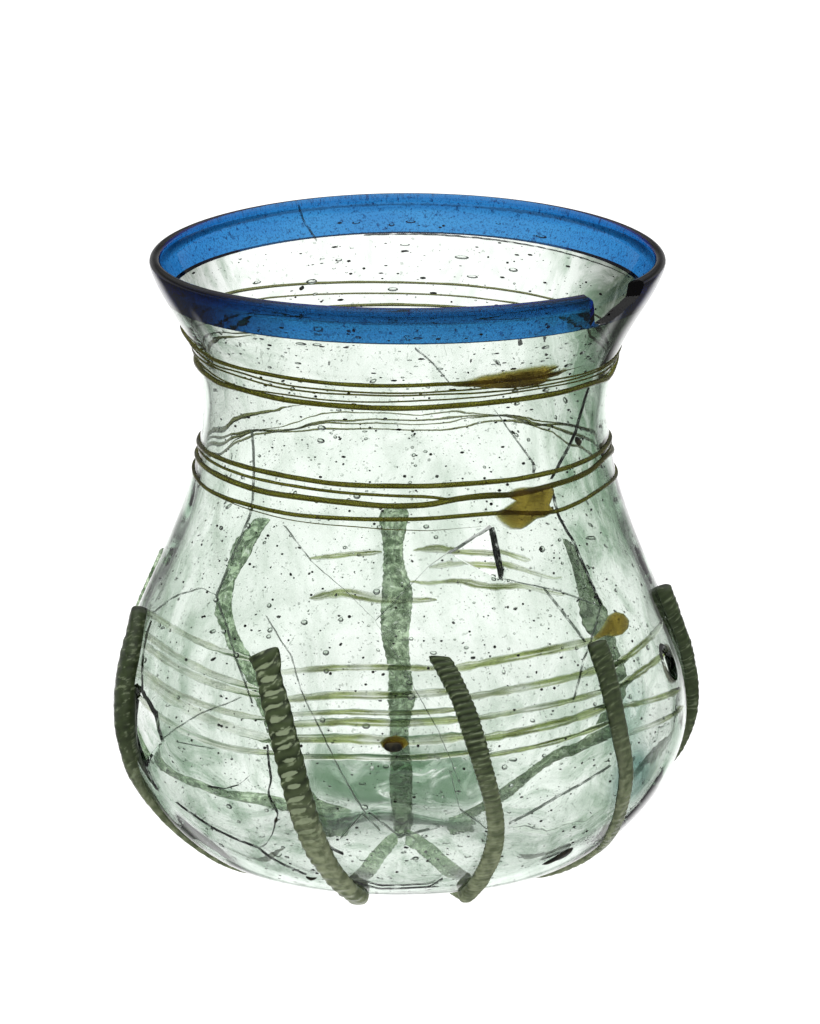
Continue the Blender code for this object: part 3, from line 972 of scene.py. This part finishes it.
# What a cane has where its own values say nothing. Lengths are millimetres.
usualCane = {
    "end": 14,                           # radius at which a cane stops under the base
    "proud": 0.9,                        # how far it stands out, on the wall and under the base
    "footProud": 1.75,
    "ridges": 2,                         # how many wind round it, how far apart, and how deep they are cut
    "spacing": 1.1,
    "depth": 0.03,
    "slope": 0.0,                        # how much the cane's upper end is cut at a slant
    "twist": 0.5,
    # how strong the pale flecks are, partly threads and partly painted highlight
    "flecks": 0.3,
    "glintFacets": 0.0,                       # painted highlight: pale flats between the ridges, on the cane's outer face
    "tanBelow": 25,                          # the height below which it turns a paler tan
    "tone": 0.0,                         # how much of it is clearer, lighter green glass: painted light, for light showing through it
    "fade": 0.0,                         # how far its lower end clears
}
canes = {
    "front_left": {
        "pixels": ((264, 651, 31), (268, 672, 30), (275, 700, 30), (282, 730, 31), (289, 757, 30),
                   (297, 790, 30), (307, 823, 30), (322, 857, 28), (342, 883, 26), (357, 895, 22)),
        "foot": -16, "end": 2, "ridges": 3, "spacing": 1.8, "slope": 0.55, "proud": 1.0, "flecks": 0.85,
        "glintFacets": 0.75},
    "front_right": {
        "pixels": ((439, 656, 24), (450, 676, 22), (462, 701, 21), (473, 733, 22), (483, 767, 20),
                   (492, 800, 18), (496, 830, 18), (491, 857, 20), (479, 880, 20), (467, 892, 17)),
        "foot": 26, "end": 2, "spacing": 0.85, "depth": 0.035, "slope": -0.1, "flecks": 0.5, "tanBelow": 31},
    "right": {
        "pixels": ((596, 641, 27), (606, 672, 25), (614, 705, 23), (621, 740, 22), (626, 773, 21),
                   (622, 803, 21), (612, 832, 20), (596, 852, 16)),
        "foot": 62, "end": 20, "footProud": 0.9, "depth": 0.015, "proud": 0.85, "flecks": 0.35,
        "twist": 0.2, "tanBelow": 36},
    "left": {
        "path": ((39.7, -81, 4.3), (35.5, -76, 4.6), (31.2, -73.5, 4.6), (25, -70.5, 4.4), (19.5, -70, 3.6),
                 (15.3, -71, 2.6), (12, -71, 1.8), (9, -70, 1.3), (6, -67, 1.0), (1.7, -62, 0.8)),
        "end": 19, "footProud": 0.4, "ridges": 3, "spacing": 1.6, "depth": 0.005, "proud": 1.9,
        "flecks": 0.5, "twist": 0.15},
    "far_left": {
        "path": ((46.2, -96.5, 3.2), (40, -99, 3.0), (28, -102, 2.8), (17, -102, 2.6), (11.5, -103, 2.8),
                 (7.8, -109, 3.4), (5.2, -118, 3.6), (3.2, -128, 3.4), (1.7, -138, 2.6)),
        "spacing": 1.0, "depth": 0.02, "proud": 0.5, "flecks": 0.5, "tone": 0.85},
    "far_right": {
        "path": ((41.7, 88, 3.3), (38, 88, 3.0), (34.5, 89.5, 2.8), (27.9, 91, 2.6), (22, 91.5, 2.3),
                 (16.5, 93.5, 1.7), (11, 101, 1.0), (6, 106, 0.6), (1.7, 108, 0.5)),
        "end": 18, "footProud": 0.5, "spacing": 1.0, "depth": 0.012, "twist": 0.15, "proud": 2.0,
        "flecks": 0.45, "tone": 0.05, "fade": 1.0},
    "back_right": {
        "path": ((41.3, 138, 3.2), (38, 137.2, 4.0), (34, 136.3, 4.3), (28, 133.4, 4.2), (22, 129.6, 3.8),
                 (17, 127, 3.4), (12.5, 128, 3.2), (8.5, 136, 3.0), (5, 143, 2.8), (1.7, 148, 2.4)),
        "tone": 0.6},
    "back": {
        "path": ((43.6, 182, 4.1), (30, 181, 4.0), (15, 180, 3.6), (1.7, 179, 3.0)),
        "end": 2, "tone": 0.75},
    "back_left": {
        "path": ((44.6, 217, 3.4), (41, 219, 3.9), (36, 221.5, 3.9), (31, 221.5, 3.5), (25, 217.2, 3.6),
                 (19, 212.8, 3.4), (12, 210.5, 3.2), (1.7, 211.5, 2.6)),
        "tone": 0.85},
}


def caneSpots(spec):                     # (distance along the wall, angle, width), from the top to the foot
    if "path" in spec:
        return [(float(alongAt(height * mm)), angle, width) for height, angle, width in spec["path"]]
    spots = [fromPhoto(x, y)[::-1] + (width / shot["scale"],) for x, y, width in spec["pixels"]]
    return spots + [(ringAlong, spec["foot"], spots[-1][2] * 0.9)]


def makeCane(name, spec):
    spots = caneSpots(spec)
    path = [(along, angle) for along, angle, width in spots]
    widths = sorted((along, width) for along, angle, width in spots)
    widest = max(width for along, width in widths)
    top, foot = spots[0][0], spots[-1][1]
    end = float(alongUnder(spec["end"] * mm))
    length = top - end
    spacing = spec["spacing"] * mm
    stations = int(length / spacing * caneShape["stationsPerRidge"])

    def noiseAt(along, scale, layer):
        return np.array([noise.noise(Vector((s * scale, foot, layer))) for s in along])

    def place(u, v):
        turn = u * math.tau
        along = top - length * v
        angle = np.where(along > ringAlong, smoothly(path, np.maximum(along, ringAlong)), foot)
        inward = np.clip((ringAlong - along) / (ringAlong - end), 0, 1)
        down = np.clip((top - along) / (top - ringAlong), 0, 1)
        width = straight(widths, along) * mm * (1 + (caneShape["endWidth"] - 1) * inward)
        proud = spec["proud"] * straight(widths, along) / widest
        proud += (spec["footProud"] - proud) * np.clip(down * 4 - 3, 0, 1)
        proud *= mm
        spiral = spec["ridges"] * turn - math.tau * (top - along) / spacing
        ridge = np.cos(spiral + noiseAt(along, caneShape["strayScale"], 0) * caneShape["stray"])
        lumps = noiseAt(along, caneShape["lumpScale"], 5.0)
        skin = zip(np.cos(turn) * 1.5, np.sin(turn) * 1.5, along * caneShape["roughScale"])
        grain = np.array([noise.noise(Vector(spot)) for spot in skin])
        swell = 1 + spec["depth"] * ridge + caneShape["lumps"] * lumps + caneShape["rough"] * grain
        fromTop = np.clip(v * length / caneShape["topLength"], 0, 1)
        cap = np.sqrt(np.clip(1 - (1 - fromTop) ** 2, 0, 1)) * 0.35 + 0.65
        tail = np.sqrt(np.clip((1 - v) * length / caneShape["tailLength"], 0.02, 1))
        across, upward = (np.sign(wave) * np.abs(wave) ** caneShape["square"]
                          for wave in (np.cos(turn), np.sin(turn)))
        sideways = across * width / 2 * swell * cap * tail
        full = (proud + caneShape["sunk"]) * swell * cap * tail
        lift = (0.5 + 0.5 * upward) * full - caneShape["sunk"]
        lean = spec["slope"] * sideways * np.clip(1 - v * length / caneShape["leanLength"], 0, 1)
        places = onWall(angle, along + lean, lift)
        places[:, 0] += sideways * np.cos(np.radians(angle))
        places[:, 1] += sideways * np.sin(np.radians(angle))
        places[:, 2] = np.maximum(places[:, 2], 0)
        return places

    return rolled("twisted_cane_" + name, caneShape["sides"], stations, place,
                  (spec["ridges"], length / spacing))


def caneGlass(name, spec):
    g = Graph("twisted_cane_glass_" + name)
    place, weave = g.place(), g.weave()
    height = g.axis(place, "Z")
    around, along = g.axis(weave, "X"), g.axis(weave, "Y")
    grain = g.cloud(place, 800, 3)
    turn = (around - along) * math.tau
    ridge = turn.maths("COSINE") * 0.5 + 0.5
    spiral = g.node("ShaderNodeCombineXYZ", None, {0: (around - along) * 1.6, 1: around * 1.3})
    strands = g.cloud(spiral, 1.5, 3, 0.6)
    patches = g.cloud(g.stretched(weave, 0.5, 0.3, 1), 1.5, 2)
    # pale flecks run along the strands, partly the cane's pale threads and partly painted highlight, and
    # painted highlights on the facets add to them between the ridges
    fleckAndGlint = g.step(strands + (patches - 0.5) * 0.35, 0.54, 0.66)
    off = around / spec["ridges"] - 0.25
    glintFacet = (1 - off.maths("ABSOLUTE") * 4) * (1 - ridge) + (strands - 0.5) * 1.2 + (patches - 0.5) * 1.4
    fleckAndGlint = (fleckAndGlint * 0.7).maths("MAXIMUM", g.step(glintFacet, 0.54, 0.70) * spec["glintFacets"])
    twist = spec["twist"]
    # painted shade: the core is darker in the grooves between the ridges, the more so with more twist
    core = g.step(ridge * twist + strands * 0.6 + (grain - 0.5) * 0.5 + (0.5 - twist) * 0.5, 0.2, 0.85)
    core = g.mix(core, caneShape["dark"], caneShape["olive"])
    core = g.mix(fleckAndGlint * spec["flecks"], core, caneShape["pale"])
    # paler tan low down, below the height the cane's values give
    low = g.step(height + (grain - 0.5) * 4 * mm, spec["tanBelow"] * mm, 7 * mm)
    tanBelow = g.mix(g.step(grain, 0.35, 0.65), caneShape["brown"], caneShape["tan"])
    relief = g.bump(grain + ridge * (twist * 0.5) + strands * 0.5, 0.06 * mm, 0.7)
    solid = g.glass({
        "Base Color": g.mix(low * 0.9, core, tanBelow), "Roughness": grain * 0.25 + 0.25, "IOR": 1.5,
        "Transmission Weight": 0.35, "Coat Weight": 0.2, "Coat Roughness": 0.12, "Normal": relief})
    # painted light: seen through the wall, or under the base, a cane is made clearer and a lighter green,
    # for light that shows through it
    blotches = g.step(g.cloud(place, 600, 4, 0.7, 0.8), 0.40, 0.60)
    dots = g.step(g.cloud(place, 1300, 2), 0.60, 0.66)
    green = g.mix(dots, g.mix(blotches, caneShape["green"], caneShape["lightGreen"]), caneShape["bubbles"])
    fade = g.step(height, 15 * mm, 8 * mm) * spec["fade"]
    clear = g.glass({
        "Base Color": g.mix(fade, green, caneShape["faded"]), "Roughness": 0.12, "IOR": 1.06,
        "Transmission Weight": 1.0})
    level = g.stretched(place, 1, 1, 0)
    reach = g.node("ShaderNodeVectorMath", {"operation": "LENGTH"}, {0: level}, out="Value")
    share = g.step(reach, 22 * mm, 15 * mm) * 0.95
    share = share.maths("MAXIMUM", blotches * (spec["tone"] * 0.5) + spec["tone"] * 0.75)
    share = share.maths("MAXIMUM", fade)
    return g.finish(g.node("ShaderNodeMixShader", None, {0: share, 1: solid, 2: clear}))


for name, changes in canes.items():
    spec = {**usualCane, **changes}
    piece = makeCane(name, spec)
    smooth(piece, 60)
    finishPiece(piece, caneGlass(name, spec), "twisted_cane_glass", "cane_" + name)
print("canes pressed on")


# Ribbons run along the wall: the yellow trail melted into the belly, and the cracks of the mended breaks
trail = {
    "smooth": True,
    "stray": 0.0,
    "sides": 12,
    "step": 1.2 * mm,
    "spread": 1.45,                      # the soft edges reach this much past the width seen
    "low": -0.55 * mm,                   # from this depth in the wall to this one
    "high": -0.05 * mm,
    "olive": (0.11, 0.14, 0.02),
    "yellow": (0.26, 0.32, 0.09),
    "front": (
        (((269, 673), (330, 668), (375, 667), (442, 668)), 0.7),
        (((276, 700), (340, 695), (395, 695), (462, 690)), 0.9),
        (((280, 715), (345, 712), (400, 713), (470, 708)), 0.6),
        (((283, 725), (345, 722), (400, 723), (474, 718)), 0.9),
        (((287, 739), (350, 739), (405, 741), (477, 735)), 1.1),
        (((290, 757), (350, 757), (405, 758), (482, 751)), 0.7),
        (((445, 670), (500, 660), (550, 650), (600, 638)), 1.0),
        (((458, 699), (510, 690), (560, 680), (608, 666)), 0.9),
        (((467, 720), (520, 711), (565, 702), (612, 688)), 0.7),
        (((474, 740), (525, 731), (570, 720), (617, 702)), 1.0),
        (((480, 757), (530, 748), (575, 736), (621, 717)), 0.6),
        (((136, 606), (152, 615), (180, 632), (210, 646), (256, 661)), 0.7),
        (((134, 626), (150, 638), (180, 658), (215, 675), (262, 690)), 0.8),
        (((132, 637), (148, 648), (180, 669), (215, 684), (264, 697)), 0.8),
        (((130, 660), (148, 675), (180, 695), (220, 710), (270, 720)), 0.7),
        (((130, 665), (148, 681), (180, 704), (220, 724), (278, 741)), 1.2),
        (((134, 692), (153, 712), (185, 732), (225, 747), (282, 754)), 0.7),
        (((604, 671), (630, 655), (648, 640), (663, 622)), 0.8),
        (((610, 691), (635, 676), (652, 664), (670, 648)), 0.8),
        (((614, 707), (640, 703), (662, 697), (682, 688)), 0.7),
        (((616, 738), (645, 728), (668, 718), (684, 706)), 0.6)),
    "back": (
        (((420, 547), (460, 549), (500, 551), (540, 556)), 0.8),
        (((300, 556), (340, 551), (380, 549)), 0.7),
        (((430, 560), (480, 562), (530, 566), (560, 572)), 0.8),
        (((300, 590), (350, 590), (400, 597), (440, 600)), 0.8),
        (((410, 578), (460, 578), (520, 584), (570, 590)), 0.7)),
}
cracks = {
    "smooth": False,
    "sides": 4,
    "step": 0.7 * mm,
    "stray": 0.10 * mm,
    "low": -1.32 * mm,
    "high": 0.01 * mm,
    "backAbove": 260,                    # a line that starts higher in the photograph lies on the back wall
    "finish": {"pale": ((0.62, 0.70, 0.62), 0.7), "dark": ((0.02, 0.03, 0.02), 0.95)},
    "pale": (
        (((288, 202), (301, 222), (315, 243)), 0.10),
        (((415, 350), (434, 366), (450, 385)), 0.07),
        (((495, 410), (516, 438), (537, 466)), 0.10),
        (((492, 527), (455, 548), (430, 565), (405, 590), (375, 620)), 0.12),
        (((375, 620), (400, 660), (430, 715), (441, 735)), 0.09),
        (((283, 525), (310, 560), (345, 590), (375, 620)), 0.09),
        (((265, 615), (290, 655), (300, 690), (320, 730), (350, 790), (365, 815)), 0.10),
        (((250, 510), (232, 553), (215, 595), (226, 628), (235, 660), (243, 680), (251, 703)), 0.09),
        (((152, 612), (175, 595), (200, 587), (215, 595)), 0.08),
        (((240, 697), (195, 715), (160, 740)), 0.08),
        (((500, 577), (560, 590), (602, 606)), 0.07),
        (((545, 587), (565, 612), (587, 641)), 0.12),
        (((510, 825), (560, 797), (612, 766)), 0.10),
        (((450, 770), (460, 810), (487, 830)), 0.09),
        (((370, 815), (400, 838), (440, 828)), 0.10),
        (((362, 815), (340, 840)), 0.10),
        (((362, 815), (380, 832)), 0.08),
        (((175, 742), (213, 749)), 0.07),
        (((250, 430), (252, 470), (250, 510)), 0.05),
        (((440, 735), (452, 762), (462, 790)), 0.07),
        (((602, 606), (585, 660), (575, 700)), 0.06)),
    "dark": (
        (((590, 388), (584, 408), (578, 430), (572, 444), (562, 462), (553, 479)), 0.26),
        (((534, 462), (536, 467), (535, 473)), 0.35),
        (((494, 527), (499, 550), (504, 577)), 0.50),
        (((553, 485), (560, 515), (568, 530), (575, 540), (590, 575), (603, 605)), 0.09),
        (((150, 620), (145, 636), (142, 652), (141, 692)), 0.12),
        (((141, 692), (153, 715), (161, 740)), 0.14),
        (((161, 742), (147, 759), (144, 766), (150, 780), (157, 790)), 0.16),
        (((266, 745), (270, 780), (267, 795), (277, 815), (272, 835), (265, 846), (258, 849)), 0.13),
        (((258, 849), (262, 853), (275, 862), (306, 876)), 0.09),
        (((324, 835), (328, 848), (343, 856)), 0.15),
        (((175, 803), (197, 819), (212, 829), (232, 839), (258, 849)), 0.04),
        (((249, 776), (237, 786), (222, 790), (206, 787)), 0.06),
        (((350, 882), (380, 890), (430, 888), (443, 880)), 0.12),
        (((363, 237), (420, 236), (480, 240), (540, 249), (600, 265), (637, 282)), 0.14)),
}


def makeRibbon(name, pixels, side, width, spec):
    line = np.array([fromPhoto(x, y, side) for x, y in pixels])
    line[:, 0] = np.degrees(np.unwrap(np.radians(line[:, 0])))
    sideSteps = np.radians(np.diff(line[:, 0])) * radiusAt(line[1:, 1])
    reach = np.concatenate(([0], np.cumsum(np.hypot(sideSteps, np.diff(line[:, 1])))))
    stations = max(3, int(reach[-1] / spec["step"]))
    bend = smoothly if spec["smooth"] else straight
    halfStep = 0.1 * mm
    tiny = 1e-9

    def place(u, v):
        at = v * reach[-1]
        angle, along = (bend(list(zip(reach, line[:, i])), at) for i in (0, 1))
        before, after = ([np.interp(at + step, reach, line[:, i]) for i in (0, 1)]
                         for step in (-halfStep, halfStep))
        around = np.radians(after[0] - before[0])
        onward = after[1] - before[1]
        girth = radiusAt(along)
        length = np.hypot(around * girth, onward) + tiny
        jag = np.array([noise.noise(Vector((a / mm * 0.9, reach[-1] / mm, 7.0))) for a in at])
        turn = u * math.tau + math.pi / spec["sides"]
        swell = np.sqrt(np.clip(1 - (2 * v - 1) ** 8, 0.03, 1)) * (1 + 0.4 * jag)
        aside = np.cos(turn) * width / 2 * swell + jag * spec["stray"]
        lift = spec["low"] + (spec["high"] - spec["low"]) * (0.5 + 0.5 * np.sin(turn))
        return onWall(angle + np.degrees(aside * onward / length / girth),
                      along - aside * around * girth / length, lift)
    return rolled(name, spec["sides"], stations, place)


def trailGlass():
    g = Graph("yellow_trail_glass")
    place, weave = g.place(), g.weave()
    turn = g.axis(weave, "X") * math.tau + math.pi / trail["sides"]
    across = turn.maths("SINE").maths("ABSOLUTE")
    haze = g.cloud(place, 260, 3)
    streak = g.cloud(g.stretched(weave, 8, 1.2, 1), 1.3, 2)
    colour = g.mix(g.step(haze, 0.4, 0.65), trail["olive"], trail["yellow"])
    gaps = g.cloud(g.stretched(place, 1, 1, 3), 75, 2)
    cover = g.step(g.axis(place, "X"), -34 * mm, -8 * mm) * 0.45 + 0.55
    cover = cover * g.step(across, 0.15, 0.95) * g.step(streak, 0.25, 0.55)
    cover = cover * (g.step(gaps, 0.34, 0.54) * 0.6 + 0.4)
    shader = g.glass({
        "Base Color": g.mix(cover, (1, 1, 1), colour), "Roughness": haze * 0.1 + 0.02, "IOR": 1.03,
        "Transmission Weight": 1.0})
    return g.finish(shader)


def crackGlass(name, colour, cover):
    g = Graph(name)
    grain = g.cloud(g.place(), 700, 3)
    shader = g.glass({
        "Base Color": (*colour, 1), "Roughness": grain * 0.3 + 0.35, "IOR": 1.5,
        "Alpha": g.step(grain, 0.25, 0.6) * cover})
    return g.finish(shader)


bars = [makeRibbon("trail", line, side, width * trail["spread"] * mm, trail)
        for side in ("front", "back") for line, width in trail[side]]
piece = joined("belly_trail", bars)
smooth(piece, 60)
finishPiece(piece, trailGlass(), "yellow_thread_glass")
for tone, (colour, cover) in cracks["finish"].items():
    bars = []
    for line, width in cracks[tone]:
        side = "back" if line[0][1] < cracks["backAbove"] else "front"
        bars.append(makeRibbon("crack", line, side, width * mm, cracks))
    piece = joined("mend_lines_" + tone, bars)
    finishPiece(piece, crackGlass("crack_" + tone, colour, cover))
print("trail and mends laid")

# Bubbles in the wall and black specks, drawn out sideways near the rim
bubbles = {"count": 950, "sizes": (0.13 * mm, 0.52 * mm), "detail": 2, "seed": 11}
specks = {"count": 3200, "sizes": (0.07 * mm, 0.27 * mm), "detail": 1, "seed": 23}
fine = {
    "depth": (-1.05 * mm, -0.3 * mm),
    "deepest": 0.28 * mm,
    "rarer": 3.2,                        # higher leaves fewer large ones
    "clear": 1.2 * mm,                   # how far they keep from a break
    "fromMiddle": 9 * mm,                # and from the middle of the base, the lip and the blue band's edge
    "fromLip": 3.2 * mm,
    "fromBand": 0.6 * mm,
    "drawnFrom": 62 * mm,                # the height from which the blowing drew them out sideways
    "drawnOver": 18 * mm,
    "drawn": 1.6,
    "uneven": 0.3,
    "thinned": 0.4,
    "colour": (0.96, 0.99, 0.96, 1),
}


def nearBreak(angle, height):
    margin = np.array((math.degrees(fine["clear"] / form["bellyRadius"]), fine["clear"]))
    for ring in breakOutlines().values():
        low = np.min(ring, axis=0) - margin
        high = np.max(ring, axis=0) + margin
        if low[0] < angle < high[0] and low[1] < height < high[1]:
            return True
    return False


def scatter(name, spec):
    chance = random.Random(spec["seed"])
    smallest, largest = spec["sizes"]
    deselect()
    bpy.ops.mesh.primitive_ico_sphere_add(subdivisions=spec["detail"], radius=1)
    model = bpy.context.object
    ball = corners(model)
    faces = np.array([face.vertices[:] for face in model.data.polygons])
    bpy.data.objects.remove(model)
    places, parts = [], []
    while len(places) < spec["count"]:
        angle = chance.uniform(-180, 180)
        along = chance.uniform(alongUnder(fine["fromMiddle"]), lipAlong - fine["fromLip"])
        height = float(heightAt(along))
        if nearBreak((angle + 180) % 360 - 180, height) or abs(height - bandStart) < fine["fromBand"]:
            continue
        size = smallest + (largest - smallest) * chance.random() ** fine["rarer"]
        drawn = max(0, min(1, (height - fine["drawnFrom"]) / fine["drawnOver"]))
        flow = 1 + fine["drawn"] * drawn * chance.random() + fine["uneven"] * chance.random()
        depth = chance.uniform(*fine["depth"])
        deep = min(size, fine["deepest"])
        parts.append(faces + len(ball) * len(places))
        places.append(onWall(angle + np.degrees(ball[:, 0] * size * flow / float(radiusAt(along))),
                             along + ball[:, 1] * size / flow ** fine["thinned"], depth + ball[:, 2] * deep))
    mesh = bpy.data.meshes.new(name)
    mesh.from_pydata(np.vstack(places).tolist(), [], np.vstack(parts).tolist())
    piece = bpy.data.objects.new(name, mesh)
    bpy.context.collection.objects.link(piece)
    return piece


def bubbleGlass():
    g = Graph("bubble_glass")
    shader = g.glass({
        "Base Color": fine["colour"], "Roughness": 0.0, "IOR": 1.45, "Transmission Weight": 1.0})
    return g.finish(shader)


piece = scatter("glass_bubbles", bubbles)
smooth(piece, 180)
finishPiece(piece, bubbleGlass(), "pale_green_glass")
piece = scatter("black_specks", specks)
finishPiece(piece, stoneFinish)
print("bubbles and specks scattered")

# The stage: a pale floor that glows like a light table, a bright horizon and a dimmer sky
stage = {
    "floorSize": 60,
    "floor": 1.28,                       # how bright the floor, the horizon and the sky are
    "table": (0.17, 0.8),                # width and depth of the lit strip
    "tableBack": 0.31,                   # its middle lies this share of its depth behind the beaker
    "horizon": 1.28,
    "sky": 0.10,
    # shares of the way from the sky's to the horizon's brightness, from straight down to straight up
    "skyStops": ((0.0, 0.2), (0.15, 0), (0.41, 0), (0.47, 0.18), (0.53, 0.18), (0.63, 0), (0.92, 0.55),
                 (1.0, 0.6)),
    "aim": (0, 0, 0.045),
    "lights": (("key_light", (-0.9, -1.2, 1.3), 0.9, 14), ("fill_light", (1.1, -0.6, 1.1), 0.8, 8)),
    "bounces": {"max_bounces": 28, "transmission_bounces": 28, "glossy_bounces": 10,
                "transparent_max_bounces": 24},
}


def setStage():
    deselect()
    bpy.ops.mesh.primitive_plane_add(size=stage["floorSize"])
    floor = bpy.context.object
    floor.name = "floor"
    floor.visible_glossy = False         # the table shows through the glass and not as a sheen on it
    g = Graph("pale_floor")
    glow = g.node("ShaderNodeEmission", None, {"Color": (1, 1, 1, 1), "Strength": stage["floor"]})
    floor.data.materials.append(g.finish(glow))
    floor.visible_transmission = False   # through the glass only the lit strip behind the beaker shows
    bpy.ops.mesh.primitive_plane_add(size=1, location=(0, stage["table"][1] * stage["tableBack"], 0))
    table = bpy.context.object
    table.name = "light_table"
    table.scale = (*stage["table"], 1)
    table.visible_glossy = False
    table.visible_camera = False
    table.data.materials.append(floor.data.materials[0])


def setSky():
    sky = Graph("studio", "World")
    direction = sky.place("Generated")
    rise = sky.axis(direction, "Z") * 0.5 + 0.5
    brighter = stage["horizon"] - stage["sky"]
    stops = [(at, (stage["sky"] + brighter * share,) * 3) for at, share in stage["skyStops"]]
    ramp = sky.node("ShaderNodeValToRGB", {"stops": stops}, {0: rise})
    away = sky.axis(direction, "Y")
    ahead = sky.step(away, 0.80, 0.92) * sky.step(rise, 0.46, 0.40)
    ahead = ahead.maths("MAXIMUM", sky.step(away, 0.60, 0.68) * sky.step(rise, 0.24, 0.20))
    tone = sky.mix(ahead, ramp, (stage["horizon"],) * 3)
    background = sky.node("ShaderNodeBackground", None, {"Color": tone, "Strength": 1.0})
    bpy.context.scene.world = sky.finish(background)


def softLight(name, place, size, power):
    deselect()
    bpy.ops.object.light_add(type="AREA", location=place)
    lamp = bpy.context.object
    lamp.name = name
    lamp.data.size = size
    lamp.data.energy = power
    lamp.visible_glossy = False
    lamp.visible_transmission = False
    lamp.rotation_euler = (Vector(stage["aim"]) - Vector(place)).to_track_quat("-Z", "Y").to_euler()


setStage()
setSky()
for light in stage["lights"]:
    softLight(*light)
bpy.context.scene.view_settings.view_transform = "Standard"
for name, count in stage["bounces"].items():
    setattr(bpy.context.scene.cycles, name, count)
print("stage set")

bpy.context.view_layer.update()
